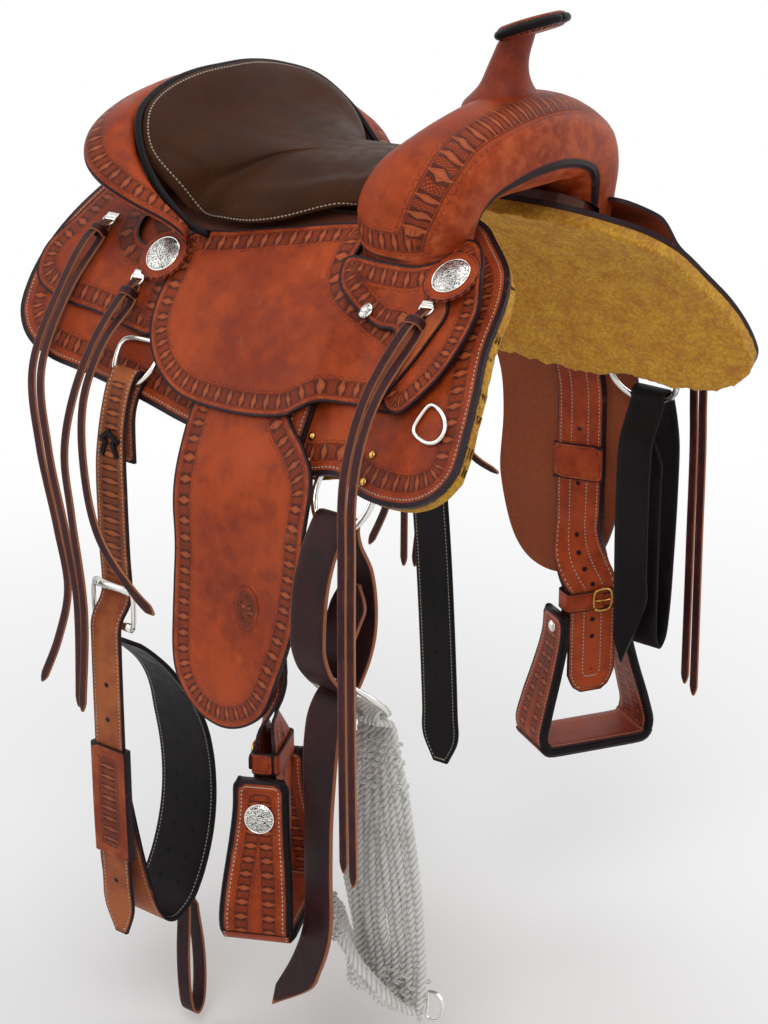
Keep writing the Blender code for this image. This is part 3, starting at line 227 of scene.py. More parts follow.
# Shape helpers
def smoothLine(points, step, closed=False):
    # a smooth curve through the points, with a spot about every step
    spots = [Vector(p) for p in points]
    count = len(spots)
    line = []
    for i in range(count if closed else count - 1):
        b = spots[i]
        c = spots[(i + 1) % count]
        a = spots[i - 1] if closed or i > 0 else b * 2 - c
        d = spots[(i + 2) % count] if closed or i + 2 < count else c * 2 - b
        ab, bc, cd = (max(sqrt((q - p).length), 1e-5) for p, q in ((a, b), (b, c), (c, d)))
        lead = ((b - a) / ab - (c - a) / (ab + bc) + (c - b) / bc) * bc
        trail = ((c - b) / bc - (d - b) / (bc + cd) + (d - c) / cd) * bc
        steps = max(1, ceil((c - b).length / step))
        for j in range(steps):
            t = j / steps
            line.append(b * (2 * t**3 - 3 * t**2 + 1) + lead * (t**3 - 2 * t**2 + t)
                        + c * (3 * t**2 - 2 * t**3) + trail * (t**3 - t**2))
    if not closed:
        line.append(spots[-1])
    return line


def ease(value, low, high):
    t = min(max((value - low) / (high - low), 0.0), 1.0)
    return t * t * (3 - 2 * t)


def smoothMost(first, second, blend):
    # the greater of two heights, rounded where they cross
    share = max(blend - abs(first - second), 0) / blend
    return max(first, second) + share * share * blend * 0.25


def nearestOnLine(places, line, closed):
    # run along the line and distance from it, for many places at once
    starts = np.array([tuple(p) for p in line])
    ends = np.roll(starts, -1, 0) if closed else starts[1:]
    starts = starts if closed else starts[:-1]
    span = ends - starts
    lengths = np.linalg.norm(span, axis=1)
    runs = np.concatenate([[0], np.cumsum(lengths)[:-1]])
    square = np.maximum(lengths**2, 1e-12)
    bestRun = np.zeros(len(places))
    bestGap = np.zeros(len(places))
    for first in range(0, len(places), 4000):
        part = places[first:first + 4000]
        offset = part[:, None, :] - starts[None]
        t = np.clip((offset * span[None]).sum(2) / square, 0, 1)
        gap = np.linalg.norm(offset - span[None] * t[..., None], axis=2)
        k = gap.argmin(1)
        rows = np.arange(len(part))
        bestRun[first:first + 4000] = runs[k] + t[rows, k] * lengths[k]
        bestGap[first:first + 4000] = gap[rows, k]
    return bestRun, bestGap, runs[-1] + lengths[-1]


def writeEdgeMap(bm, places, line, closed, isCut):
    # UV map "edge": how far along the line, and how far in from it
    layer = bm.loops.layers.uv.get("edge") or bm.loops.layers.uv.new("edge")
    bm.verts.index_update()
    run, gap, whole = nearestOnLine(places, line, closed)
    for face in bm.faces:
        cut = isCut(face)
        loops = face.loops
        first = run[loops[0].vert.index]
        for loop in loops:
            k = loop.vert.index
            along = run[k]
            if closed and along - first > whole / 2:
                along -= whole
            if closed and first - along > whole / 2:
                along += whole
            loop[layer].uv = (along, -0.002 if cut else gap[k])


def addPiece(name, bm, finish, body, slot=None, replaces=(), sharp=35):
    mesh = bpy.data.meshes.new(name)
    bm.to_mesh(mesh)
    bm.free()
    mesh.materials.append(finish)
    mesh.shade_smooth()
    if sharp:
        mesh.set_sharp_from_angle(angle=radians(sharp))
    piece = bpy.data.objects.new(name, mesh)
    bpy.context.scene.collection.objects.link(piece)
    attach(piece, body)
    if replaces:
        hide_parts(*replaces)
    return piece


# The rounded back that every leather is laid over
backShape = {
    "ridgeHalf": 0.0156, "ridgeHeight": 0.068, "ridgeRise": 0.04, "waist": -0.08, "radius": 0.275,
    "flare": 0.78,
    "ridgeSlope": radians(16), "sideSlope": radians(61), "hangFrom": 0.34, "hangBend": 0.12,
}
layers = {
    "fleeceLow": -0.004, "fleeceTop": 0.009, "skirtLow": 0.0099, "skirtTop": 0.0154, "onSkirt": 0.0163,
    "barTop": 0.0283, "jockey": 0.0045, "fenderLow": 0.0260, "fender": 0.004, "overFender": 0.0309,
}


def backRadius(x):
    return backShape["radius"] + backShape["flare"] * (x - backShape["waist"]) ** 2


def onBack(side, x, s, h):
    radius = backRadius(x)
    steep = backShape["sideSlope"]
    turn = backShape["ridgeSlope"] + s / radius
    over = 0.0
    if turn > steep:
        over = s - radius * (steep - backShape["ridgeSlope"])
        turn = steep
    y = backShape["ridgeHalf"] + radius * (sin(turn) - sin(backShape["ridgeSlope"])) + over * cos(turn)
    z = backShape["ridgeHeight"] + backShape["ridgeRise"] * x - over * sin(turn)
    z -= radius * (cos(backShape["ridgeSlope"]) - cos(turn))
    return Vector((x, side * (y + h * sin(turn)), z + h * cos(turn)))


def onLeg(side, x, s, h):
    if s <= backShape["hangFrom"]:
        return onBack(side, x, s, h)
    start = onBack(1, x, backShape["hangFrom"], 0)
    run = s - backShape["hangFrom"]
    bend = backShape["hangBend"]
    steep = backShape["sideSlope"]
    turn = steep + run / bend
    over = 0.0
    if turn > pi / 2:
        over = run - bend * (pi / 2 - steep)
        turn = pi / 2
    y = start.y + bend * (sin(turn) - sin(steep))
    z = start.z - bend * (cos(steep) - cos(turn)) - over
    return Vector((x, side * (y + h * sin(turn)), z + h * cos(turn)))


def ridgeEdge(x, y=0.0012, h=-0.004):
    radius = backRadius(x)
    reach = (y - backShape["ridgeHalf"] + radius * sin(backShape["ridgeSlope"])) / (radius + h)
    return radius * (asin(reach) - backShape["ridgeSlope"])


def cutLeather(outline, lay, low, high, cell=0.006, levels=(0.0, 1.0), step=0.006):
    # a flat cut, sliced into small squares, given its thickness and laid down
    edge = [Vector((p.x, max(p.y, ridgeEdge(p.x)), 0))
            for p in smoothLine([(*p, 0) for p in outline], step, True)]
    bm = bmesh.new()
    bm.faces.new([bm.verts.new(p) for p in edge])
    for axis, normal in ((0, (1, 0, 0)), (1, (0, 1, 0))):
        least = min(p[axis] for p in edge)
        most = max(p[axis] for p in edge)
        for k in range(int(least / cell) - 1, int(most / cell) + 2):
            spot = [0.0, 0.0, 0.0]
            spot[axis] = k * cell
            if least < k * cell < most:
                bmesh.ops.bisect_plane(bm, geom=bm.verts[:] + bm.edges[:] + bm.faces[:], dist=1e-6,
                                       plane_co=spot,
                                       plane_no=normal)
    faces = bm.faces[:]
    if faces[0].normal.z > 0:
        bmesh.ops.reverse_faces(bm, faces=faces)
    keep = True
    for before, level in zip(levels, levels[1:]):
        made = bmesh.ops.extrude_face_region(bm, geom=faces, use_keep_orig=keep)["geom"]
        faces = [g for g in made if isinstance(g, bmesh.types.BMFace)]
        corners = [g for g in made if isinstance(g, bmesh.types.BMVert)]
        bmesh.ops.translate(bm, verts=corners, vec=(0, 0, level - before))
        keep = False
    bmesh.ops.recalc_face_normals(bm, faces=bm.faces)
    bm.normal_update()
    flat = bm.loops.layers.uv.new("flat")
    for face in bm.faces:
        for loop in face.loops:
            loop[flat].uv = loop.vert.co.xy
    places = np.array([(v.co.x, v.co.y, 0.0) for v in bm.verts])
    writeEdgeMap(bm, places, edge, True, lambda face: abs(face.normal.z) < 0.5)
    layer = bm.loops.layers.uv["edge"]
    for face in bm.faces:
        if face.normal.z < -0.5:
            for loop in face.loops:
                loop[layer].uv.y += 1.0
    lows = low if callable(low) else (lambda x, s: low)
    highs = high if callable(high) else (lambda x, s: high)
    for v in bm.verts:
        x, s, t = v.co
        bottom = lows(x, s)
        v.co = lay(x, s, bottom + (highs(x, s) - bottom) * t)
    bmesh.ops.recalc_face_normals(bm, faces=bm.faces)
    return bm


# Rows of a strap: middle, half width and half thickness at each of its cross sections
def rowsOf(node, count):
    bm = bmesh.new()
    bm.from_mesh(nodes[node].data)
    bmesh.ops.remove_doubles(bm, verts=bm.verts, dist=2e-5)
    bm.normal_update()
    bm.verts.index_update()
    links = {v: {e.other_vert(v) for e in v.link_edges} for v in bm.verts}
    done = set()
    for face in bm.faces:
        if face in done:
            continue
        group, queue = {face}, [face]
        while queue:
            for e in queue.pop().edges:
                for other in e.link_faces:
                    flush = other.normal.dot(face.normal) > 0.9995 or other.calc_area() < 1e-9
                    if other not in group and flush and len(group) < count:
                        group.add(other)
                        queue.append(other)
        done |= group
        ring = {v for f in group for v in f.verts}
        if len(ring) != count or len(group) != count - 2:
            continue
        seen = set(ring)
        rings = [ring]
        while True:
            following = {w for v in rings[-1] for w in links[v]} - seen
            if not following:
                break
            rings.append(following)
            seen |= following
        good = [r for r in rings if len(r) == count]
        enough = len(good) > max(2, len(rings) * 0.6)
        if len(seen) == len(bm.verts) and enough and len(rings[-1]) == count:
            break
    else:
        raise ValueError(node + " has no clear cross sections")
    rings = good
    rows = []
    for ring in rings:
        spots = np.array([tuple(v.co) for v in ring])
        middle = spots.mean(0)
        _, _, axes = np.linalg.svd(spots - middle)
        wide, thick = Vector(axes[0]), Vector(axes[1])
        halfWide = np.abs((spots - middle) @ axes[0]).max()
        halfThick = np.abs((spots - middle) @ axes[1]).max()
        if rows:
            wide = wide if wide.dot(Vector(rows[-1][3:6])) > 0 else -wide
            thick = thick if thick.dot(Vector(rows[-1][6:9])) > 0 else -thick
        lean = 0.0 if not rows else abs((Vector(middle) - Vector(rows[-1][:3])).normalized().dot(wide))
        if lean < 0.5:
            rows.append(Vector((*middle, *(wide * halfWide), *(thick * halfThick))))
    bm.free()
    return rows


def denseRows(rows, step):
    # smooth rows at an even pace, as (middle, wide, thick, length so far)
    fine = smoothLine(rows, step)
    made = []
    length = 0.0
    for i, row in enumerate(fine):
        if i:
            length += (Vector(row[:3]) - Vector(fine[i - 1][:3])).length
        made.append((Vector(row[:3]), Vector(row[3:6]), Vector(row[6:9]), length))
    return made


strapSection = [(-1, -0.45), (-0.985, -0.85), (-0.95, -1), (-0.6, -1), (-0.2, -1), (0.0, -1), (0.2, -1),
                (0.6, -1), (0.95, -1),
                (0.985, -0.85), (1, -0.45)]
strapSection += [(-a, -b) for a, b in strapSection]


def sweepRows(rows, section):
    # a ring of points carried along the rows by extruding its edges
    bm = bmesh.new()
    flat = bm.loops.layers.uv.new("flat")
    edge = bm.loops.layers.uv.new("edge")
    count = len(section)

    def spot(row, a, b):
        return row[0] + row[1] * a + row[2] * b

    ring = [bm.verts.new(spot(rows[0], a, b)) for a, b in section]
    edges = [bm.edges.new((ring[k], ring[(k + 1) % count])) for k in range(count)]
    bm.faces.new(list(reversed(ring)))
    tracks = {v: (k, 0) for k, v in enumerate(ring)}
    for i, row in enumerate(rows[1:], 1):
        made = bmesh.ops.extrude_edge_only(bm, edges=edges)["geom"]
        fresh = [g for g in made if isinstance(g, bmesh.types.BMVert)]
        edges = [g for g in made if isinstance(g, bmesh.types.BMEdge) and all(v in fresh for v in g.verts)]
        for v in fresh:
            other = next(e.other_vert(v) for e in v.link_edges if e.other_vert(v) in tracks and
                         tracks[e.other_vert(v)][1] == i - 1)
            k = tracks[other][0]
            tracks[v] = (k, i)
            v.co = spot(row, *section[k])
    last = sorted((k, v.index, v) for v, (k, i) in tracks.items() if i == len(rows) - 1)
    bm.faces.new([v for _, _, v in last])
    whole = rows[-1][3]
    for face in bm.faces:
        ks = [tracks[l.vert][0] for l in face.loops]
        side = sum(abs(section[k][0]) > 0.96 for k in ks) == len(ks) or len(ks) > 4
        for loop in face.loops:
            k, i = tracks[loop.vert]
            along = rows[i][3]
            half = rows[i][1].length
            loop[flat].uv = (along, section[k][0] * half)
            inward = min((1 - abs(section[k][0])) * half, max(along, 0.0), max(whole - along, 0.0))
            loop[edge].uv = (along, -0.002 if side else inward)
    bmesh.ops.recalc_face_normals(bm, faces=bm.faces)
    return bm


def roundSection(sidesCount):
    return [(cos(tau * k / sidesCount), sin(tau * k / sidesCount)) for k in range(sidesCount)]


def tubeRows(line, radius, up=Vector((0, 0, 1))):
    # rows for a round cord
    rows = []
    length = 0.0
    side = None
    for i, p in enumerate(line):
        run = (line[min(i + 1, len(line) - 1)] - line[max(i - 1, 0)]).normalized()
        side = side or up.cross(run)
        side = side - run * side.dot(run)
        if side.length < 1e-6:
            side = run.orthogonal()
        side.normalize()
        length += (p - line[i - 1]).length if i else 0.0
        rows.append((Vector(p), side * radius, run.cross(side) * radius, length))
    return rows


def rod(line, radius, sidesCount, up=Vector((0, 0, 1))):
    return sweepRows(tubeRows(line, radius, up), roundSection(sidesCount))


def circle(middle, right, up, radius, steps, count=None):
    # points round a circle of so many steps; one more than the steps closes it
    turns = [tau * k / steps for k in range(count or steps)]
    return [middle + (right * cos(turn) + up * sin(turn)) * radius for turn in turns]


def middleOf(box):
    return (Vector(box[0]) + Vector(box[1])) / 2


def roundOff(name, node, finish, slot):
    # a CAD node's own shape, made smooth
    bm = bmesh.new()
    bm.from_mesh(nodes[node].data)
    bmesh.ops.remove_doubles(bm, verts=bm.verts, dist=2e-5)
    bmesh.ops.join_triangles(bm, faces=bm.faces, angle_face_threshold=radians(50),
                             angle_shape_threshold=radians(80))
    piece = addPiece(name, bm, finish, nodes[node]["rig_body"], slot, [node], sharp=0)
    rounded = piece.modifiers.new("rounded", "SUBSURF")
    rounded.levels = rounded.render_levels = 2
    fuller = piece.modifiers.new("fuller", "DISPLACE")
    fuller.strength = 0.0003
    fuller.mid_level = 0.0


print("shape helpers ready")


# Leathers
def leather(name, look):
    # a look gives colours, roughness and grain, and stitches, lines and bands by distance from the edge
    f = Finish(name)
    place = f.place()
    along, inward = f.map("edge")
    broad = f.speckle(9.0, 3.0, 0.6, place)
    mottle = f.speckle(60.0, 4.0, 0.65, place)
    pores = f.speckle(look.get("grain", 900.0), 3.0, 0.6, place)
    creases = f.cells(look.get("grain", 900.0) * 0.45, place, "DISTANCE_TO_EDGE")
    tint = f.ramp(broad * 0.6 + mottle * 0.4, 0.36, 0.64, 0, 1)
    colour = f.mix(tint, look["deep"], look["colour"])
    height = pores * 0.30 + creases.below(0.05, 0.05) * -0.25 + mottle * 0.35
    rough = f.ramp(mottle, 0.3, 0.7, look["rough"] - 0.05, look["rough"] + 0.12)
    wobble = (mottle - 0.5) * 0.0008
    for band in look.get("bands", ()):
        colour, height = toolBand(f, along, inward + wobble * 0.5, band, colour, height, look)
    # grooved lines take the recess colour: painted shade in the groove
    for at, tone in look.get("lines", ()):
        groove = inward.near(at, 0.0003, 0.0006)
        colour = f.mix(groove * tone, colour, look["recessShade"])
        height = height - groove * 1.2
    # stitch troughs take the recess colour and the stitch holes are near black: painted shade
    for at, thread in look.get("stitches", ()):
        beat = along.phase(0.0046)
        row = inward.near(at, 0.0002, 0.0011)
        thong = row * beat.near(0.5, 0.30, 0.12)
        trough = inward.near(at, 0.0006, 0.0016)
        hole = inward.near(at, 0.0002, 0.0008) * (1 - beat.near(0.5, 0.36, 0.08))
        colour = f.mix(trough * 0.45, colour, look["recessShade"])
        colour = f.mix(hole * 0.9, colour, (0.004, 0.003, 0.003))
        colour = f.mix(thong, colour, thread)
        height = height - trough * 1.1 + thong * 1.5 - hole * 0.8
    # punched holes are painted near black inside a darker ring: painted shade, with no opening cut
    for runs, middle in look.get("holes", ()):
        for run in runs:
            apart = ((along - run) * (along - run) + (inward - middle) * (inward - middle)).maths("SQRT")
            punched = apart.below(0.0024, 0.0004)
            colour = f.mix(apart.below(0.0034, 0.0006) * 0.6, colour, look["recessShade"])
            colour = f.mix(punched, colour, (0.002, 0.002, 0.002))
            height = height - punched * 3.0
    flesh = inward.above(0.5, 0.1)
    nap = f.speckle(260.0, 6.0, 0.75, place)
    colour = f.mix(flesh, colour,
                   f.mix(nap, look.get("suedeDeep", shade(112, 52, 32)),
                         look.get("suede", shade(168, 92, 60))))
    rough = rough + flesh * 0.35
    rim = inward.below(look.get("rim", 0.0012), 0.0007)
    cut = inward.below(-0.0012, 0.0003)
    rubbed = inward.near(look.get("rim", 0.0012) + 0.0016, 0.0004, 0.0016) * f.ramp(mottle, 0.45, 0.6, 0, 1)
    colour = f.mix(rubbed * 0.35, colour, look.get("worn", look["colour"]))
    colour = f.mix(rim.most(cut), colour, look["cut"])
    height = height - inward.below(0.0008, 0.0008) * 1.2
    scuff = f.ramp(f.speckle(35.0, 6.0, 0.7, place), 0.60, 0.75, 0, 1)
    colour = f.mix(scuff * 0.25, colour, look.get("worn", look["colour"]))
    normal = f.bump(height, 0.0009, look.get("bump", 0.6))
    f.shader.inputs["Specular IOR Level"].default_value = look.get("gloss", 0.13)
    return f.set(colour=colour, rough=rough, normal=normal, coat=look.get("coat", 0.03), coatRough=0.3)


def toolBand(f, along, inward, band, colour, height, look):
    # a carved border: squares of basket grid and raised bars between two lines, with half moons outside
    start, width, period = band["start"], band["width"], band.get("period", 0.018)
    across = (inward - start) / width
    inside = across.near(0.5, 0.44, 0.03)
    if "span" in band:
        reach = along.near((band["span"][0] + band["span"][1]) / 2, (band["span"][1] - band["span"][0]) / 2,
                           0.0005)
    beat = along.phase(period)
    gridSquare = beat.near(0.25, 0.20, 0.03) * across.near(0.5, 0.40, 0.03)
    weaveU = (along * (tau / 0.0030)).maths("SINE")
    weaveV = (inward * (tau / 0.0030)).maths("SINE")
    grid = f.ramp(weaveU * weaveV, -0.5, 0.5, 0, 1)
    point = (across - 0.5).maths("ABSOLUTE") * 0.55 + (beat - 0.75).maths("ABSOLUTE") * 1.6
    bar = point.below(0.31, 0.035)
    vein = point.near(0.20, 0.012, 0.03)
    lines = inward.near(start, 0.0004, 0.0006).most(inward.near(start + width, 0.0004, 0.0006))
    moons = None
    for middle, sign in ((start - 0.0006, -1), (start + width + 0.0006, 1)):
        turn = (along.phase(0.0085) - 0.5) * 0.0085
        away = inward - middle
        apart = (turn * turn + away * away).maths("SQRT")
        arcs = apart.near(0.0032, 0.0002,
                          0.0006) * (away.above(0.0, 0.0004) if sign > 0 else away.below(0.0, 0.0004))
        moons = arcs if moons is None else moons.most(arcs)
    if "span" in band:
        inside, gridSquare, bar, lines, moons = (part * reach
                                                 for part in (inside, gridSquare, bar, lines, moons))
    # the carved background, grid gaps, lines, half moons and veins take the recess colour: painted shade
    background = inside * (1 - gridSquare) * (1 - bar)
    colour = f.mix(background * 0.85, colour, look["recessShade"])
    colour = f.mix(gridSquare * (1 - grid) * 0.75, colour, look["recessShade"])
    colour = f.mix(lines * 0.9, colour, look["recessShade"])
    colour = f.mix(moons * 0.75, colour, look["recessShade"])
    colour = f.mix(bar * vein * 0.6, colour, look["recessShade"])
    colour = f.mix(bar * (1 - vein) * 0.30, colour, look["worn"])
    height = height - background * 1.3 - lines * 1.6 - moons * 1.2
    height = height + gridSquare * grid * 0.7 + bar * 0.7 - bar * vein * 0.8
    return colour, height


thread = shade(228, 214, 190)
# the recess colour darkens pressed-in grooves, stitch troughs, hole rims and carved backgrounds: painted
# shade
russetLook = {
    "colour": shade(172, 70, 28), "deep": shade(128, 44, 16), "recessShade": shade(58, 22, 14),
    "worn": shade(204, 120, 76),
    "cut": shade(34, 20, 26), "rough": 0.40, "grain": 900.0,
}
blackLook = {
    **russetLook, "colour": shade(26, 21, 24), "deep": shade(15, 12, 14), "recessShade": shade(6, 5, 6),
    "worn": shade(52, 42, 42), "cut": shade(16, 12, 14), "gloss": 0.08,
}
looks = {
    "skirt": {**russetLook, "stitches": [(0.0085, thread)], "bands": [{"start": 0.016, "width": 0.017}],
              "rim": 0.0055},
    "jockey": {**russetLook, "bands": [{"start": 0.0075, "width": 0.016}], "rim": 0.0026},
    "front": {**russetLook, "bands": [{"start": 0.0065, "width": 0.013, "period": 0.015}], "rim": 0.0026},
    "fender": {**russetLook, "bands": [{"start": 0.0085, "width": 0.016}], "rim": 0.0026},
    "hobble": {**russetLook, "rim": 0.0014, "lines": [(0.004, 0.8)]},
    "billet": {**russetLook, "colour": shade(168, 92, 48), "deep": shade(128, 60, 32),
               "stitches": [(0.0045, thread)],
               "bands": [{"start": 0.0090, "width": 0.024, "period": 0.015, "span": (0.44, 0.66)}],
               "rim": 0.0016,
               "holes": [((0.069, 0.112, 0.270, 0.312), 0.0222)]},
    "keeper": {**russetLook, "colour": shade(168, 84, 46),
               "bands": [{"start": 0.0150, "width": 0.026, "period": 0.013, "span": (0.014, 0.126)}],
               "lines": [(0.0135, 0.9)], "rim": 0.0016},
    "nearStrap": {**russetLook, "stitches": [(0.0050, thread), (0.0200, thread)], "rim": 0.0016,
                  "holes": [((0.028, 0.072, 0.094, 0.139, 0.160, 0.181, 0.203, 0.268, 0.291, 0.313, 0.336),
                             0.0312)]},
    "nearBillet": {**blackLook, "rough": 0.42,
                   "stitches": [(0.0050, thread)], "holes": [((0.395, 0.427, 0.459, 0.491, 0.523), 0.0276)]},
    "wear": {**russetLook, "colour": shade(178, 92, 52), "deep": shade(146, 66, 36), "rim": 0.0024},
    "flank": {**russetLook, "colour": shade(170, 94, 50), "deep": shade(132, 62, 32),
              "stitches": [(0.0055, thread)],
              "rim": 0.0016},
    "dark": {**russetLook, "colour": shade(52, 22, 24), "deep": shade(28, 13, 17),
             "recessShade": shade(20, 8, 12),
             "worn": shade(120, 62, 48), "cut": shade(150, 92, 62), "rim": 0.0010, "rough": 0.38},
    "thong": {**russetLook, "colour": shade(66, 28, 28), "deep": shade(46, 18, 22),
              "recessShade": shade(20, 8, 12),
              "worn": shade(126, 74, 54), "cut": shade(172, 112, 78), "rim": 0.0006, "rough": 0.42},
    "black": {**blackLook},
    "seat": {**russetLook, "colour": shade(62, 33, 16), "deep": shade(48, 25, 12),
             "recessShade": shade(26, 16, 11),
             "worn": shade(104, 72, 50), "cut": shade(40, 24, 18), "rough": 0.46, "grain": 700.0,
             "gloss": 0.06,
             "stitches": [(0.0085, thread)], "rim": 0.001, "bump": 0.45},
    "rosette": {**russetLook, "rim": 0.0012, "lines": [(0.003, 0.8)]},
    "stirrup": {**russetLook, "stitches": [(0.0062, thread)], "rim": 0.0030,
                "bands": [{"start": 0.014, "width": 0.014, "period": 0.015}]},
    "cantle": {**russetLook, "bands": [{"start": 0.0075, "width": 0.018}], "rim": 0.0018},
    "fork": {**russetLook, "bands": [{"start": 0.009, "width": 0.019}], "rim": 0.0024},
    "horn": {**russetLook, "colour": shade(150, 62, 38), "deep": shade(112, 42, 26), "rim": -1.0},
    "hornCap": {**russetLook, "colour": shade(150, 62, 38), "rim": 0.0006,
                "bands": [{"start": 0.0035, "width": 0.012, "period": 0.012}]},
    "tread": {**russetLook, "colour": shade(160, 72, 44), "deep": shade(126, 50, 32),
              "stitches": [(0.004, thread)], "rim": 0.0014},
    "stamp": {**russetLook, "lines": [(0.0012, 0.9), (0.0055, 0.9)], "rim": -1.0,
              "bands": [{"start": 0.0068, "width": 0.022, "period": 0.010}]},
}
finishes = {key: leather(key + "Leather", look) for key, look in looks.items()}
print("leathers ready")


def metalFinish(name, colour, rough, engraved=False, dull=0.0):
    f = Finish(name)
    place = f.place()
    smear = f.speckle(45.0, 5.0, 0.6, place)
    fine = f.speckle(700.0, 3.0, 0.6, place)
    tarnish = f.ramp(f.speckle(120.0, 5.0, 0.65, place), 0.56, 0.74, 0, 1)
    tone = f.mix(tarnish * (0.30 + dull), colour, tuple(c * 0.42 for c in colour))
    roughness = f.ramp(smear, 0.3, 0.7, rough * 0.6, rough * 1.7)
    height = fine * 0.25
    if engraved:
        swirl = f.add("ShaderNodeTexWave", {"wave_type": "RINGS", "rings_direction": "SPHERICAL"},
                      {"Vector": place, "Scale": 170.0, "Distortion": 11.0, "Detail": 1.5,
                       "Detail Scale": 2.2}).out(0)
        cutLine = swirl.below(0.46, 0.10)
        tone = f.mix(cutLine * 0.92, tone, (0.02, 0.018, 0.016))
        height = height - cutLine * 1.4
    return f.set(colour=tone, metal=1.0, rough=roughness, normal=f.bump(height, 0.0004, 0.5))


plated = metalFinish("brightPlate", shade(222, 220, 214), 0.16)
engraved = metalFinish("engravedSilver", shade(226, 224, 218), 0.22, engraved=True)
brass = metalFinish("agedBrass", shade(196, 150, 78), 0.28, dull=0.15)


def woolFinish():
    f = Finish("goldenWool")
    place = f.place()
    tufts = f.cells(210.0, place)
    curl = f.speckle(420.0, 6.0, 0.75, place, 1.5)
    clump = f.speckle(40.0, 4.0, 0.6, place)
    tint = f.ramp(curl * 0.6 + clump * 0.4, 0.36, 0.62, 0, 1)
    tone = f.mix(tint, shade(214, 134, 8), shade(255, 196, 44))
    # darker between the tufts: painted shade
    tone = f.mix(tufts.above(0.5, 0.25) * 0.35, tone, shade(160, 92, 16))
    normal = f.bump(curl * 1.4 - tufts * 1.2 + clump, 0.003, 0.9)
    return f.set(colour=tone, rough=0.95, normal=normal, sheen=0.12, sheenRough=0.4)


wool = woolFinish()


def ropeFinish(name, light, dark):
    # the lay of the cord winds round it, read from its own map
    f = Finish(name)
    place = f.place()
    twist = (f.map("wind")[0] * tau).maths("COSINE")
    # groove: where the strands meet; it is darkened below as painted shade
    groove = f.ramp(twist, -1.0, -0.45, 1, 0)
    fibre = f.speckle(900.0, 4.0, 0.7, place)
    soil = f.ramp(f.speckle(24.0, 4.0, 0.6, place), 0.5, 0.72, 0, 1)
    tone = f.mix(fibre, dark, light)
    tone = f.mix(groove * 0.55, tone, tuple(c * 0.40 for c in dark))
    tone = f.mix(soil * 0.20, tone, shade(150, 142, 130))
    return f.set(colour=tone, rough=0.85, normal=f.bump(twist * 0.8 + fibre * 0.5, 0.0010, 0.8), sheen=0.2)


cinchCord = ropeFinish("cinchCord", shade(246, 245, 240), shade(206, 204, 198))


def treeFinish():
    f = Finish("coveredTree")
    place = f.place()
    grain = f.speckle(120.0, 5.0, 0.7, place, 2.0)
    return f.set(colour=f.mix(grain, shade(72, 36, 22), shade(108, 54, 32)), rough=0.6,
                 normal=f.bump(grain, 0.001, 0.4))


treeWood = treeFinish()
print("metals, wool and rope ready")


# Skirts, fleece, jockeys and fenders, each cut from its own pattern
patterns = {
    "skirt": [
        (-0.350, ridgeEdge(-0.350)), (-0.290, ridgeEdge(-0.290)), (-0.262, 0.000), (-0.235, 0.016),
        (-0.08, 0.018), (0.10, 0.020), (0.175, 0.042), (0.210, 0.068), (0.248, 0.102), (0.268, 0.140),
        (0.280, 0.196), (0.295, 0.247), (0.303, 0.296), (0.302, 0.322), (0.286, 0.345), (0.258, 0.358),
        (0.222, 0.360), (0.187, 0.355), (0.145, 0.339), (0.100, 0.344), (0.02, 0.331), (-0.078, 0.317),
        (-0.152, 0.302), (-0.240, 0.288), (-0.297, 0.281), (-0.335, 0.266), (-0.358, 0.240),
        (-0.366, 0.205), (-0.367, 0.150), (-0.360, 0.080), (-0.353, 0.020)],
    "rearJockey": [
        (-0.330, ridgeEdge(-0.330)), (-0.290, ridgeEdge(-0.290)), (-0.262, 0.004), (-0.254, 0.030),
        (-0.252, 0.080), (-0.250, 0.118), (-0.236, 0.134), (-0.200, 0.140), (-0.165, 0.150), (-0.160, 0.190),
        (-0.164, 0.231), (-0.190, 0.231), (-0.245, 0.222), (-0.307, 0.217), (-0.345, 0.205),
        (-0.359, 0.186), (-0.362, 0.160), (-0.348, 0.120), (-0.338, 0.060)],
    "seatJockey": [
        (-0.158, 0.126), (-0.10, 0.112), (-0.03, 0.098), (0.030, 0.086), (0.060, 0.084), (0.070, 0.100),
        (0.074, 0.130), (0.090, 0.150), (0.130, 0.168), (0.185, 0.195), (0.200, 0.240), (0.196, 0.266),
        (0.140, 0.266), (0.106, 0.269), (0.085, 0.280), (0.070, 0.289), (0.040, 0.295), (-0.020, 0.297),
        (-0.087, 0.289), (-0.126, 0.267), (-0.147, 0.242), (-0.157, 0.215), (-0.158, 0.170)],
    "frontJockey": [
        (0.070, 0.128), (0.120, 0.128), (0.165, 0.128), (0.188, 0.118), (0.196, 0.094), (0.214, 0.094),
        (0.238, 0.118), (0.252, 0.150), (0.257, 0.190), (0.250, 0.226), (0.233, 0.252), (0.212, 0.270),
        (0.196, 0.268), (0.182, 0.254), (0.172, 0.225), (0.166, 0.192), (0.141, 0.189), (0.098, 0.170),
        (0.076, 0.152)],
    "fender": [
        (-0.052, 0.224), (0.050, 0.224), (0.060, 0.262), (0.070, 0.290), (0.103, 0.318), (0.130, 0.353),
        (0.128, 0.41), (0.118, 0.474), (0.100, 0.545), (0.072, 0.600), (0.022, 0.622), (-0.022, 0.611),
        (-0.050, 0.577), (-0.062, 0.506), (-0.058, 0.426), (-0.062, 0.36), (-0.066, 0.305), (-0.060, 0.260)],
}
rigging = {"place": (0.157, 0.352), "ring": 0.042, "wire": 0.004}


def seatJockeyHeight(x, s):
    overBar = 1 - ease(s, 0.125, 0.166)
    overLeg = 1 - ease(x - 0.002, 0.086, 0.130)
    return layers["onSkirt"] + (layers["overFender"] - layers["onSkirt"]) * max(overBar, overLeg)


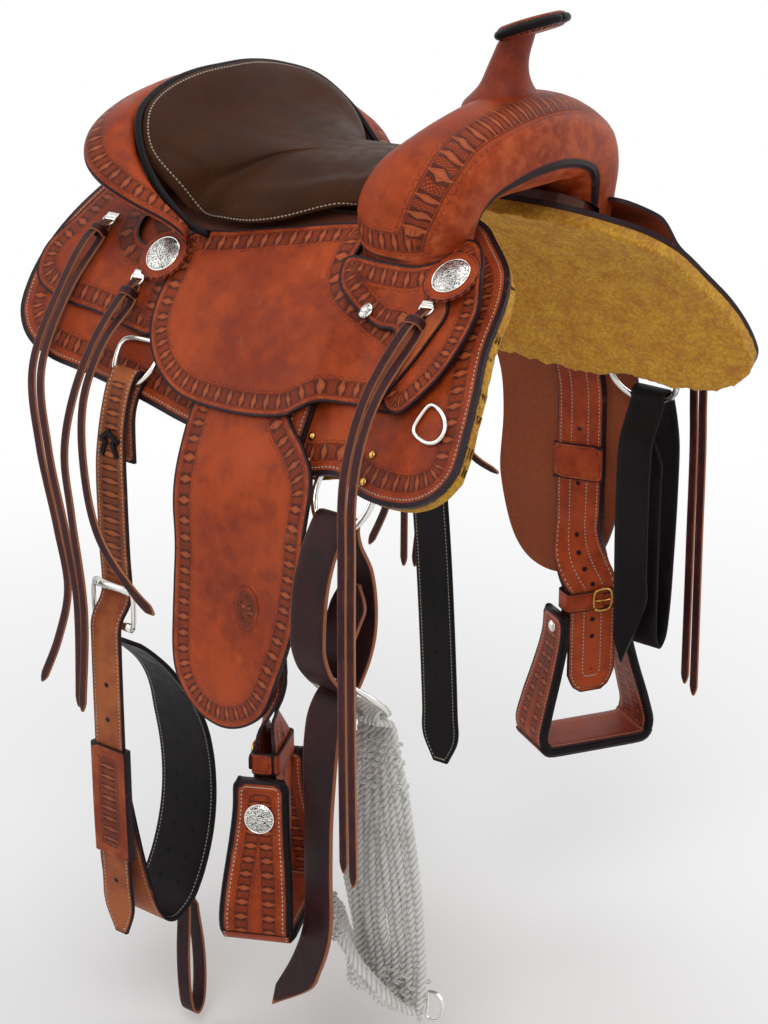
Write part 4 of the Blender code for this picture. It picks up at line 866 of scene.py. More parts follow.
def frontJockeyHeight(x, s):
    return seatJockeyHeight(x, s) + layers["jockey"] + 0.0018


def seatJockeyTop(x, s):
    return seatJockeyHeight(x, s) + layers["jockey"]


def frontJockeyTop(x, s):
    return frontJockeyHeight(x, s) + layers["jockey"]


def woolTop(x, s):
    gap = sqrt((x - rigging["place"][0]) ** 2 + (s - rigging["place"][1]) ** 2)
    return layers["fleeceTop"] - 0.0102 * (1 - ease(gap, rigging["ring"] + 0.012, rigging["ring"] + 0.040))


def curlWool(bm, amount, seed):
    # push the wool's underside and rim out in small lumps
    bm.normal_update()
    shift = Vector((seed, seed * 0.7, 0))
    for v in bm.verts:
        p = v.co + shift
        lump = noise.noise(p * 55) * 0.6 + noise.noise(p * 140) * 0.6 + noise.noise(p * 300) * 0.3
        down = max(0.0, -v.normal.z * 0.6 + 0.45) if v.normal.z < 0.75 else 0.0
        v.co += v.normal * (0.35 + lump) * amount * min(down * 1.6, 1.0)


def legPush(s):
    return 0.0108 * ease(s, 0.48, 0.58)


# Each panel: its pattern, the node it stands for, its look, where it lies,
# its body, its lower and upper height, and the size of its squares
onSkirt, fenderLow = layers["onSkirt"], layers["fenderLow"]
panels = (
    ("skirt", "skirt", "skirt", "back", "saddle", layers["skirtLow"], layers["skirtTop"], 0.006),
    ("rearJockey", "rear_jockey", "jockey", "back", "saddle", onSkirt, onSkirt + layers["jockey"], 0.006),
    ("seatJockey", "seat_jockey", "jockey", "back", "saddle", seatJockeyHeight, seatJockeyTop, 0.006),
    ("frontJockey", "front_jockey", "front", "back", "saddle", frontJockeyHeight, frontJockeyTop, 0.005),
    ("fender", "fender", "fender", "leg", "leg_*", fenderLow, fenderLow + layers["fender"], 0.006))


for tag, side in sides:
    def lay(x, s, h, side=side):
        return onBack(side, x, s, h)

    def hang(x, s, h, side=side):
        return onLeg(side, x, s, h + legPush(s))

    bm = cutLeather(patterns["skirt"], lay, layers["fleeceLow"], woolTop, cell=0.0055,
                    levels=(0.0, 0.3, 0.6, 1.0))
    curlWool(bm, 0.0042, side * 3.1)
    addPiece("woolLining_" + tag, bm, wool, "saddle", "fleece_wool", ["fleece_" + tag], sharp=0)
    for pattern, stands, look, route, body, low, high, cell in panels:
        bm = cutLeather(patterns[pattern], hang if route == "leg" else lay, low, high, cell=cell)
        addPiece(pattern + "Leather_" + tag, bm, finishes[look], body.replace("*", tag), "russet_leather",
                 [stands + "_" + tag])
print("skirts, fleece, jockeys and fenders laid")


# Straps, each swept again along its own cross sections
strapLooks = {
    "off_latigo": ("dark", "burgundy_leather"), "near_latigo": ("black", "black_leather"),
    "off_billet": ("billet", "russet_leather"), "near_billet": ("nearBillet", "black_leather"),
}
strapCorners = 4
strapRows = {}
for node, (look, slot) in strapLooks.items():
    strapRows[node] = denseRows(rowsOf(node, strapCorners), 0.006)
    bm = sweepRows(strapRows[node], strapSection)
    addPiece(node + "_leather", bm, finishes[look], nodes[node]["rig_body"], slot, [node])

# The flank cinch is two layers: russet outside its loop, black inside
node = "flank_cinch"
rows = denseRows(rowsOf(node, strapCorners), 0.006)
loopMiddle = sum((row[0] for row in rows), Vector()) / len(rows)
if sum(row[2].dot(row[0] - loopMiddle) for row in rows) < 0:
    rows = [(middle, -wide, -thick, length) for middle, wide, thick, length in rows]
strapRows[node] = rows
outer = [(a, (b + 1) / 2) for a, b in strapSection]
inner = [(a * 0.995, (b - 1) / 2) for a, b in strapSection]
body = nodes[node]["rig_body"]
addPiece("flankLining", sweepRows(rows, inner), finishes["nearBillet"], body, "black_leather", sharp=0)
addPiece("flankOuter", sweepRows(rows, outer), finishes["flank"], body, "russet_leather", [node])

# Saddle strings and the connecting strap, along routes of their own
stringTails = (
    (((-0.305, 0.205, -0.045), (-0.3055, 0.250, -0.125), (-0.273, 0.275, -0.203), (-0.244, 0.281, -0.291),
      (-0.229, 0.283, -0.3585), (-0.245, 0.285, -0.420), (-0.275, 0.286, -0.482)),
     ((-0.291, 0.205, -0.045), (-0.2915, 0.250, -0.125), (-0.259, 0.275, -0.203), (-0.231, 0.281, -0.291),
      (-0.216, 0.283, -0.3585), (-0.2145, 0.283, -0.400), (-0.2165, 0.285, -0.497))),
    (((-0.216, 0.240, -0.080), (-0.223, 0.268, -0.139), (-0.228, 0.280, -0.2015), (-0.218, 0.283, -0.270),
      (-0.1946, 0.292, -0.372), (-0.204, 0.292, -0.497)),
     ((-0.202, 0.240, -0.080), (-0.207, 0.268, -0.139), (-0.1946, 0.283, -0.216), (-0.1655, 0.292, -0.282),
      (-0.1127, 0.295, -0.330), (-0.078, 0.300, -0.345))),
    (((0.176, 0.243, -0.055), (0.181, 0.275, -0.095), (0.192, 0.303, -0.140), (0.196, 0.310, -0.220),
      (0.197, 0.312, -0.380), (0.198, 0.312, -0.553)),
     ((0.190, 0.245, -0.058), (0.194, 0.277, -0.098), (0.205, 0.304, -0.142), (0.208, 0.310, -0.220),
      (0.209, 0.312, -0.380), (0.211, 0.312, -0.565))))
stringSettings = {"width": 0.0105, "leather": 0.0026, "turn": 0.0030}
knotShape = ((-0.0075, 0.000), (-0.0070, 0.0090), (0.0, 0.0112), (0.0070, 0.0090),
             (0.0075, 0.0), (0.0065, -0.0040), (0.0, -0.0052), (-0.0065, -0.0040))
clipSpots = ((-0.292, 0.116), (-0.206, 0.174), (0.196, 0.163))


def thongRows(line, wide, width, leather):
    # a flat thong, its width kept as near as it can to one direction
    rows, length = [], 0.0
    for i, p in enumerate(line):
        run = (line[min(i + 1, len(line) - 1)] - line[max(i - 1, 0)]).normalized()
        across = (wide - run * wide.dot(run)).normalized()
        length += (p - line[i - 1]).length if i else 0.0
        rows.append((p, across * width / 2, run.cross(across) * leather / 2, length))
    whole = rows[-1][3]
    return [(p, a * min(1.0, 0.25 + min(n, whole - n) / 0.012), t, n) for p, a, t, n in rows]


for tag, side in sides:
    for index, place in enumerate(clipSpots):
        node = "saddle_string_%s_%d" % (tag, index + 1)
        clip = [Vector(c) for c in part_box("clip_dee_%s_%d" % (tag, index + 1))]
        centre = (clip[0] + clip[1]) / 2
        bow = Vector((centre.x, side * max(abs(clip[0].y), abs(clip[1].y)), clip[0].z))
        bow -= Vector((0, side * 0.0016, -0.0016))
        outward = (onBack(side, *place, 0.03) - onBack(side, *place, 0.02)).normalized()
        down = (onBack(side, place[0], place[1] + 0.01, 0.02) - onBack(side, place[0], place[1],
                                                                       0.02)).normalized()
        first, second = [[Vector((p[0], side * p[1], p[2])) for p in tail] for tail in stringTails[index]]
        turn = circle(bow - down * 0.0012, outward, -down, stringSettings["turn"], 8, 5)
        route = list(reversed(first)) + [bow + outward * 0.0085 + down * 0.022 - Vector((0.0035, 0,
                                                                                         0))] + turn
        route.append(bow - outward * 0.0026 + down * 0.010 + Vector((0.002, 0, 0)))
        route.append(bow - outward * 0.0020 + down * 0.022 + Vector((0.0045, 0, 0)))
        rows = thongRows(smoothLine(route + second, 0.006), Vector((1, 0, 0)), stringSettings["width"],
                         stringSettings["leather"])
        strapRows[node] = rows
        addPiece(node + "_leather", sweepRows(rows, strapSection), finishes["thong"],
                 nodes[node]["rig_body"], "burgundy_leather", [node])
        line = smoothLine([bow + down * 0.012 + Vector((x, 0, 0)) + outward * y for x, y in knotShape],
                          0.0025, True)
        rows = []
        for i in range(len(line) + 1):
            run = (line[(i + 1) % len(line)] - line[i % len(line) - 1]).normalized()
            rows.append((line[i % len(line)], down * 0.0048, run.cross(down) * 0.0012, 0.0025 * i))
        addPiece("stringKnot_%s_%d" % (tag, index + 1), sweepRows(rows, strapSection), finishes["thong"],
                 nodes[node]["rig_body"], "burgundy_leather", sharp=0)
route = [(0.198, -0.7440), (0.1985, -0.775), (0.2015, -0.820), (0.2005, -0.870), (0.1955, -0.898),
         (0.1875, -0.9045),
         (0.180, -0.896), (0.1755, -0.868), (0.1765, -0.820), (0.183, -0.775), (0.186, -0.752)]
rows = thongRows(smoothLine([Vector((-0.148, -y, z)) for y, z in route], 0.005), Vector((1, 0, 0)), 0.020,
                 0.003)
strapRows["connecting_strap"] = rows
addPiece("connectingStrap", sweepRows(rows, strapSection), finishes["dark"], "connector",
         "burgundy_leather", ["connecting_strap"])
print("strings made")


# Stirrup leathers: doubled over the bar, turned to face the stirrup's bolt
stirrupSettings = {
    "middle": (0.073, 0.284), "top": -0.478, "drop": 0.174, "halfWidth": 0.0715, "earHalf": 0.0415,
    "wall": 0.011,
    "topDepth": 0.052, "treadDepth": 0.072, "bolt": 0.0045, "turn": 62.0, "strapWidth": 0.063,
    "strapLeather": 0.004,
}
strapInner = layers["onSkirt"] + 0.002
strapOuter = strapInner + 0.0049
strapTwist = (
    (-0.375, 0, 0.0600, 0.2796, 0.0025, 0.0025), (-0.390, 8, 0.0615, 0.2780, 0.0028, 0.0030),
    (-0.410, 28, 0.0645, 0.2775, 0.0040, 0.0050), (-0.430, 50, 0.0690, 0.2800, 0.0058, 0.0085),
    (-0.447, 62, 0.0730, 0.2840, 0.0069, 0.0118), (-0.472, 62, 0.0730, 0.2840, 0.0069, 0.0118))
twistLine = smoothLine([Vector((row[0], radians(row[1]) * 0.04, *row[2:])) for row in strapTwist], 0.010)


def turnedWide(side, angle):
    return Vector((cos(radians(angle)), side * sin(radians(angle)), 0))


def boltOf(side):
    return Vector((stirrupSettings["middle"][0], side * stirrupSettings["middle"][1],
                   stirrupSettings["top"] - 0.018))


def legStation(side, s, h):
    half = stirrupSettings["strapWidth"] / 2
    wide = (onLeg(side, 0.060 + half, s, h) - onLeg(side, 0.060 - half, s, h)).normalized()
    return onLeg(side, 0.060, s, h), wide


def twistStation(side, row, free):
    z, angle, x, y, main, loose = row
    wide = turnedWide(side, degrees(angle / 0.04))
    square = Vector((-wide.y * side, wide.x * side, 0))
    return Vector((x, side * y, z)) + square * (-loose if free else main), wide


def legRows(side):
    wide = turnedWide(side, stirrupSettings["turn"])
    front = Vector((wide.y * side, -wide.x * side, 0))
    up = Vector((0, 0, 1))
    bolt = boltOf(side)
    turn = stirrupSettings["bolt"] + 0.0006 + stirrupSettings["strapLeather"] / 2
    stations = [(bolt + front * strapTwist[-1][5] + up * rise, wide)
                for rise in (-0.087, -0.057, -0.020, 0.005)]
    stations += [twistStation(side, row, True) for row in reversed(twistLine)]
    stations += [legStation(side, 0.02 * k, strapInner) for k in (26, 20, 19, 18, 17, 14, 11)]
    stations.append(legStation(side, 0.2175, (strapInner + strapOuter) / 2))
    stations += [legStation(side, 0.02 * k, strapOuter) for k in (11, 14, 17, 18, 19, 20, 26)]
    stations += [twistStation(side, row, False) for row in twistLine]
    for k in range(7):
        angle = radians(180 + 30 * k)
        stations.append((bolt + (front * cos(angle) + up * sin(angle)) * turn, wide))
    stations.append((bolt + front * turn + up * 0.016, wide))
    line = smoothLine([Vector((*p, *(a * 0.02))) for p, a in stations], 0.007)
    rows = []
    length = 0.0
    for i, p in enumerate(line):
        spot = Vector(p[:3])
        after = Vector(line[min(i + 1, len(line) - 1)][:3])
        before = Vector(line[max(i - 1, 0)][:3])
        run = (after - before).normalized()
        across = Vector(p[3:])
        across = (across - run * across.dot(run)).normalized()
        length += (spot - Vector(line[i - 1][:3])).length if i else 0.0
        width = stirrupSettings["strapWidth"] * (0.45 + 0.55 * sqrt(min(length / 0.024, 1.0)))
        rows.append((spot, across * width / 2, run.cross(across) * stirrupSettings["strapLeather"] / 2,
                     length))
    return rows


for tag, side in sides:
    node = "stirrup_leather_" + tag
    strapRows[node] = legRows(side)
    bm = sweepRows(strapRows[node], strapSection)
    addPiece(node + "_leather", bm, finishes["nearStrap"], "leg_" + tag, "burgundy_leather", [node])
print("straps swept")

# Hardware keeps its CAD shape, made smooth
for node in nodes:
    if nodes[node].hide_render or not any(word in node for word in ("ring_", "dee_", "roller_buckle")):
        continue
    if "string" in node:
        continue
    roundOff(node + "_plated", node, plated, "nickel")
print("hardware rounded")


def skinRings(rings, ends=(True, True)):
    # closed rings of points joined by extruding the last ring's edges
    bm = bmesh.new()
    count = len(rings[0])
    ring = [bm.verts.new(p) for p in rings[0]]
    edges = [bm.edges.new((ring[k], ring[(k + 1) % count])) for k in range(count)]
    if ends[0]:
        bm.faces.new(list(reversed(ring)))
    for points in rings[1:]:
        made = bmesh.ops.extrude_edge_only(bm, edges=edges)["geom"]
        fresh = {g for g in made if isinstance(g, bmesh.types.BMVert)}
        following = [next(e.other_vert(v) for e in v.link_edges if e.other_vert(v) in fresh) for v in ring]
        for v, p in zip(following, points):
            v.co = p
        ring = following
        edges = [bm.edges.get((ring[k], ring[(k + 1) % count])) for k in range(count)]
    if ends[1]:
        bm.faces.new(ring)
    bmesh.ops.recalc_face_normals(bm, faces=bm.faces)
    return bm


def mapFrom(bm, line, closed=False):
    places = np.array([tuple(v.co) for v in bm.verts])
    writeEdgeMap(bm, places, line, closed, lambda face: False)
    return bm


def soften(piece, levels=1):
    made = piece.modifiers.new("soft", "SUBSURF")
    made.levels = made.render_levels = levels
    return piece


def dome(spot, forward, outward, across, rise, petals=0, steps=44,
         profile=((1.0, 0.0), (1.0, 0.25), (0.9, 0.5), (0.6, 0.85), (0.3, 0.97), (0.08, 1.0))):
    # a low round button, its rim waved where it has petals
    down = outward.cross(forward)
    rings = []
    for radius, height in profile:
        ring = []
        for k in range(steps):
            angle = tau * k / steps
            wave = 1 + (0.07 * abs(sin(angle * petals / 2)) if petals and radius > 0.7 else 0)
            ring.append(spot + outward * rise * height
                        + (forward * cos(angle) + down * sin(angle)) * across * radius * wave)
        rings.append(ring)
    return skinRings(rings)


# Cantle: the rim, its rolled back and the black binding
cantle = {
    "rim": [(-0.135, 0.168, 0.044), (-0.175, 0.176, 0.080), (-0.205, 0.170, 0.115), (-0.232, 0.145, 0.148),
            (-0.246, 0.100, 0.166), (-0.248, 0.050, 0.176)],
    "middle": (-0.247, 0.0, 0.178), "wire": 0.003, "binding": 0.0045, "roll": 0.057,
}


def groundHeight(x, y, h):
    radius = backRadius(x)
    reach = (y - backShape["ridgeHalf"] + radius * sin(backShape["ridgeSlope"])) / (radius + h)
    return onBack(1, x, radius * (asin(reach) - backShape["ridgeSlope"]), h).z


rimPoints = [Vector((x, -y, z)) for x, y, z in cantle["rim"]] + [Vector(cantle["middle"])]
rimPoints += [Vector(p) for p in reversed(cantle["rim"])]
rimLine = smoothLine(rimPoints, 0.007)
backRings, outerLine = [], []
for i, point in enumerate(rimLine):
    run = rimLine[min(i + 1, len(rimLine) - 1)] - rimLine[max(i - 1, 0)]
    out = Vector((-run.y, run.x, 0)).normalized()
    if out.dot(point - Vector((0.1, 0, 0))) < 0:
        out = -out
    share = i / (len(rimLine) - 1) * 2 - 1
    fade = ease(1 - abs(share), 0.0, 0.42)
    width = cantle["wire"] + 0.010 + (cantle["roll"] - cantle["wire"] - 0.010) * fade
    drop = 0.004 + 0.016 * fade
    lip = 0.009 + 0.003 * fade
    start = point + out * (cantle["wire"] + 0.0004)

    def spot(away, down, start=start, out=out):
        return start + out * away - Vector((0, 0, down))

    foot = max(groundHeight(p.x, abs(p.y), layers["onSkirt"] + 0.006)
               for p in (spot(0.008, 0), spot(0.001, 0)))
    foot = max(foot, point.z - 0.022 - 0.10 * (1 - ease(abs(point.y), 0.135, 0.160)))
    footDown = max(point.z - foot, drop + lip + 0.006)
    section = [(0.0, 0.001), (width * 0.25, drop * 0.13), (width * 0.5, drop * 0.33),
               (width * 0.75, drop * 0.62),
               (width * 0.93, drop * 0.88), (width, drop + lip * 0.4), (width * 0.97, drop + lip * 0.85),
               (width * 0.85, drop + lip), (width * 0.45 + 0.003, drop + lip), (0.0075, drop + lip + 0.003),
               (0.008, (footDown + drop + lip) / 2), (0.008, footDown), (0.001, footDown),
               (0.0005, footDown * 0.5)]
    backRings.append([spot(*p) for p in section])
    outerLine.append(spot(width, drop + lip * 0.4))
bm = mapFrom(skinRings(backRings), outerLine)
soften(addPiece("cantleRoll", bm, finishes["cantle"], "saddle", "russet_leather", ["cantle_back"], sharp=0))
line = smoothLine([Vector((-0.118, -0.160, 0.036))] + rimPoints + [Vector((-0.118, 0.160, 0.036))], 0.007)
bm = rod(line, cantle["binding"], 12)
addPiece("cantleBinding", bm, finishes["black"], "saddle", "black_leather", ["cantle_binding"], sharp=0)
print("cantle made")

# Seat: a dished pad with a crown and a stitched edge
seat = {"centre": Vector((-0.07, 0.0, 0.0985)), "hollow": 2.2, "thick": 0.013, "edge": 0.006}
half = []
for x, y, z in (cantle["rim"][5], cantle["rim"][4], cantle["rim"][3], cantle["rim"][2]):
    point = Vector((x, y, z))
    inward = Vector((-0.07 - x, -y, 0)).normalized()
    half.append(point + inward * (cantle["wire"] + 0.0012) + Vector((0, 0, -0.002)))
half.append(Vector((-0.170, 0.158, 0.078)))
onJockey = layers["overFender"] + layers["jockey"] + 0.0009
for x, y in ((-0.150, 0.1385), (-0.115, 0.1405), (-0.078, 0.1395), (-0.038, 0.131), (-0.006, 0.118),
             (0.020, 0.108)):
    half.append(Vector((x, y, groundHeight(x, y, onJockey) + 0.006)))
front = [Vector((0.045, 0.098, 0.073)), Vector((0.068, 0.076, 0.086)), Vector((0.084, 0.045, 0.098))]
ring = [Vector((-0.2428, 0, 0.176))] + half + front + [Vector((0.090, 0, 0.102))]
ring += [Vector((p.x, -p.y, p.z)) for p in reversed(front)] + [Vector((p.x, -p.y, p.z))
                                                               for p in reversed(half)]
padRim = smoothLine(ring, 0.010, True)


tops, bases = [], []
for share in (0.06, 0.15, 0.25, 0.35, 0.45, 0.55, 0.65, 0.74, 0.82, 0.88, 0.93, 0.965, 0.985, 1.0):
    top, base = [], []
    for p in padRim:
        x = seat["centre"].x + (p.x - seat["centre"].x) * share
        y = p.y * share
        z = seat["centre"].z + (p.z - seat["centre"].z) * share ** seat["hollow"]
        thick = seat["thick"] - (seat["thick"] - seat["edge"]) * ease(share, 0.7, 1.0)
        low = smoothMost(z - thick, groundHeight(x, max(abs(y), 0.060), onJockey), 0.040)
        crown = 0.0055 * sin(pi * ease(share, 0.70, 1.0)) + 0.003 * sin(pi * share)
        tuck = 0.0045 * ease(share, 0.955, 1.0)
        top.append(Vector((x, y, smoothMost(z, low + 0.006, 0.040) + crown - tuck)))
        base.append(Vector((x, y, low)))
    tops.append(top)
    bases.append(base)
bm = skinRings(bases + list(reversed(tops)))
mapFrom(bm, padRim, True)
pad = addPiece("seatCushion", bm, finishes["seat"], "saddle", "brown_leather", ["seat_pad"], sharp=0)
soften(pad)
print("seat made")

# Fork: the cover over the arch, with its carved band
forkArch = (
    (0.147, 0.044, 0.090, 0.080, 0.134, 0.056), (0.152, 0.074, 0.084, 0.091, 0.133, 0.060),
    (0.153, 0.108, 0.075, 0.098, 0.137, 0.060), (0.138, 0.143, 0.060, 0.103, 0.146, 0.056),
    (0.100, 0.168, 0.041, 0.106, 0.157, 0.050), (0.050, 0.187, 0.020, 0.108, 0.166, 0.045),
    (0.000, 0.193, 0.000, 0.109, 0.170, 0.043))


def forkRings(grow, around, per):
    rows = [Vector(row) for row in forkArch]
    rows += [Vector((-row[0], row[1], -row[2], row[3], row[4], row[5])) for row in reversed(forkArch[:-1])]
    rings = []
    for i in range((len(rows) - 1) * per + 1):
        t = i / per
        k = min(int(t), len(rows) - 2)
        u = t - k
        a, b, c, d = rows[max(k - 1, 0)], rows[k], rows[k + 1], rows[min(k + 2, len(rows) - 1)]
        r = b + (c - a) * 0.5 * u + (a * 2 - b * 5 + c * 4 - d) * 0.5 * u * u
        r += (b * 3 - a - c * 3 + d) * 0.5 * u**3
        centre = Vector((r[4], (r[0] + r[2]) / 2, (r[1] + r[3]) / 2))
        out = Vector((0, r[0] - r[2], r[1] - r[3]))
        reach = out.length / 2 + grow
        out.normalize()
        ring = []
        for j in range(around):
            c, s = cos(tau * j / around), sin(tau * j / around)
            c = abs(c) ** 0.75 * (1 if c > 0 else -1)
            s = abs(s) ** 0.75 * (1 if s > 0 else -1)
            ring.append(centre + out * reach * c + Vector((1, 0, 0)) * (r[5] + grow) * s)
        rings.append(ring)
    for ring in (rings[0], rings[-1]):
        for p in ring:
            over = 0.0004 + (frontJockeyTop(p.x, 0.13) - layers["barTop"]) * ease(abs(p.y), 0.108, 0.132)
            over -= 0.012 * ease(p.x, 0.187, 0.197) * (1 - ease(abs(p.y), 0.098, 0.112))
            p.z = groundHeight(p.x, abs(p.y), layers["barTop"] + over + 0.0006)
    return rings


around = 36
rings = forkRings(0.0040, around, 6)
middle = len(rings) // 2
frontCorner = round(around * 0.20)
rearCorner = round(around * 0.80)
lipPlace = round(around * 0.31)
forkFace, lipRim = 0.047, 0.0036
for which, ends in (("near", range(0, middle + 1)), ("off", range(len(rings) - 1, middle - 1, -1))):
    order = list(ends)
    foot = rings[order[0]]
    corner = [foot[j % around] for j in range(rearCorner, rearCorner + around // 2 + 2)
              if (j % around) <= frontCorner or (j % around) >= rearCorner]
    lip = [rings[i][lipPlace] for i in order]
    bm = skinRings([rings[i] for i in order], ends=(False, False))
    bm.verts.index_update()
    places = np.array([tuple(v.co) for v in bm.verts])
    footRun, footGap, _ = nearestOnLine(places, corner, False)
    lipRun, lipGap, _ = nearestOnLine(places, lip, False)
    layer = bm.loops.layers.uv.new("edge")
    fromLip = np.minimum(lipGap, lipRim) + np.maximum(lipGap - forkFace, 0)
    for face in bm.faces:
        ks = [loop.vert.index for loop in face.loops]
        byLip = sum(fromLip[k] < footGap[k] for k in ks) * 2 > len(ks)
        for k, loop in zip(ks, face.loops):
            loop[layer].uv = (lipRun[k] * 1.9 if byLip else footRun[k], min(fromLip[k], footGap[k]))
    # a thin lining under it, so that the edge has its thickness
    bmesh.ops.solidify(bm, geom=bm.faces[:], thickness=-0.0026)
    addPiece("forkCover_" + which, bm, finishes["fork"], "saddle", "russet_leather",
                     ["fork_cover"] if which == "near" else (), sharp=50)

# Horn: a wrapped neck under a bound cap
horn = {"foot": Vector((0.160, 0.0, 0.199)), "head": Vector((0.186, 0.0, 0.262)), "tilt": radians(20)}
neckProfile = ((-0.24, 0.052), (-0.12, 0.041), (0.00, 0.0315), (0.12, 0.0265),
               (0.28, 0.0228), (0.5, 0.0205), (0.75, 0.0198), (1.0, 0.0205))
neck = []
for share, radius in neckProfile:
    tilt = horn["tilt"] * max(share, 0)
    centre = horn["foot"] + (horn["head"] - horn["foot"]) * share
    centre -= Vector((0.014 * ease(share, -0.3, 0.5) + 0.004, 0, 0))
    neck.append(circle(centre, Vector((cos(tilt), 0, sin(tilt))), Vector((0, 1, 0)), radius, 40))
for p in neck[0]:
    p.z -= abs(p.y) * 0.35
for p in neck[1]:
    p.z -= abs(p.y) * 0.12
bm = mapFrom(skinRings(neck), neck[0], True)
soften(addPiece("hornNeck", bm, finishes["horn"], "saddle", "russet_leather", ["horn_wrap"], sharp=0), 2)
up = Vector((-sin(horn["tilt"]), 0, cos(horn["tilt"])))
right = Vector((cos(horn["tilt"]), 0, sin(horn["tilt"])))
capProfile = ((-0.002, 0.018), (-0.0015, 0.030), (0.001, 0.0350), (0.006, 0.0362),
              (0.011, 0.0350), (0.0128, 0.0315), (0.0134, 0.024), (0.0136, 0.010))
rings = [circle(horn["head"] + up * (rise + 0.0004), right, Vector((0, 1, 0)), radius, 56)
         for rise, radius in capProfile]
bm = mapFrom(skinRings(rings), rings[5], True)
addPiece("hornTop", bm, finishes["hornCap"], "saddle", "russet_leather", ["horn_cap"], sharp=0)
line = circle(horn["head"] + up * 0.0056, right, Vector((0, 1, 0)), 0.0352, 56, 57)
bm = rod(line, 0.0048, 10)
addPiece("hornEdge", bm, finishes["black"], "saddle", "black_leather", sharp=0)
print("fork and horn made")

# Conchos: an engraved dome with a beaded rim, on a scalloped leather rosette
conchoSettings = {"radius": 0.0205, "rosette": 0.0300, "petals": 22, "front": (0.211, 0.136),
                  "rear": (-0.172, 0.154)}


def surfaceFrame(side, x, s, h):
    reach = 0.004
    point = onBack(side, x, s, h)
    forward = (onBack(side, x + reach, s, h) - onBack(side, x - reach, s, h)).normalized()
    outward = (onBack(side, x, s, h + reach) - point).normalized()
    return point, forward, outward


for tag, side in sides:
    for where, height in (("front", frontJockeyTop), ("rear", seatJockeyTop)):
        node = "concho_%s_%s" % (where, tag)
        corners = [v.co for v in nodes[node].data.vertices]
        middle = sum(corners, Vector()) / len(corners)
        x, s = conchoSettings[where]
        point, forward, outward = surfaceFrame(side, x, s, height(x, s))
        base = min((c - middle).dot(outward) for c in corners)
        spot = middle + outward * base
        spot = point + outward * ((spot - point).dot(outward) + (0.0050 if where == "front" else 0.0022))
        bm = dome(spot, forward, outward, conchoSettings["rosette"], 0.0034, conchoSettings["petals"], 110,
                  ((0.95, 0.0), (1.0, 0.3), (1.0, 0.75), (0.97, 1.0), (0.86, 1.04), (0.8, 1.0), (0.5, 1.0)))
        down = outward.cross(forward)
        mapFrom(bm, circle(spot + outward * 0.0028, forward, down, 0.0305, 80), True)
        addPiece("rosette_%s_%s" % (where, tag), bm, finishes["rosette"], "saddle", "russet_leather",
                 sharp=60)
        bm = dome(spot + outward * 0.0034, forward, outward, conchoSettings["radius"], 0.0048)
        addPiece("concho_%s_%s_dome" % (where, tag), bm, engraved, "saddle", "nickel", [node], sharp=0)
        line = circle(spot + outward * 0.0041, forward, down, conchoSettings["radius"], 48, 49)
        bm = rod(line, 0.0011, 6)
        addPiece("concho_%s_%s_rim" % (where, tag), bm, plated, "saddle", "nickel", sharp=0)
print("conchos made")

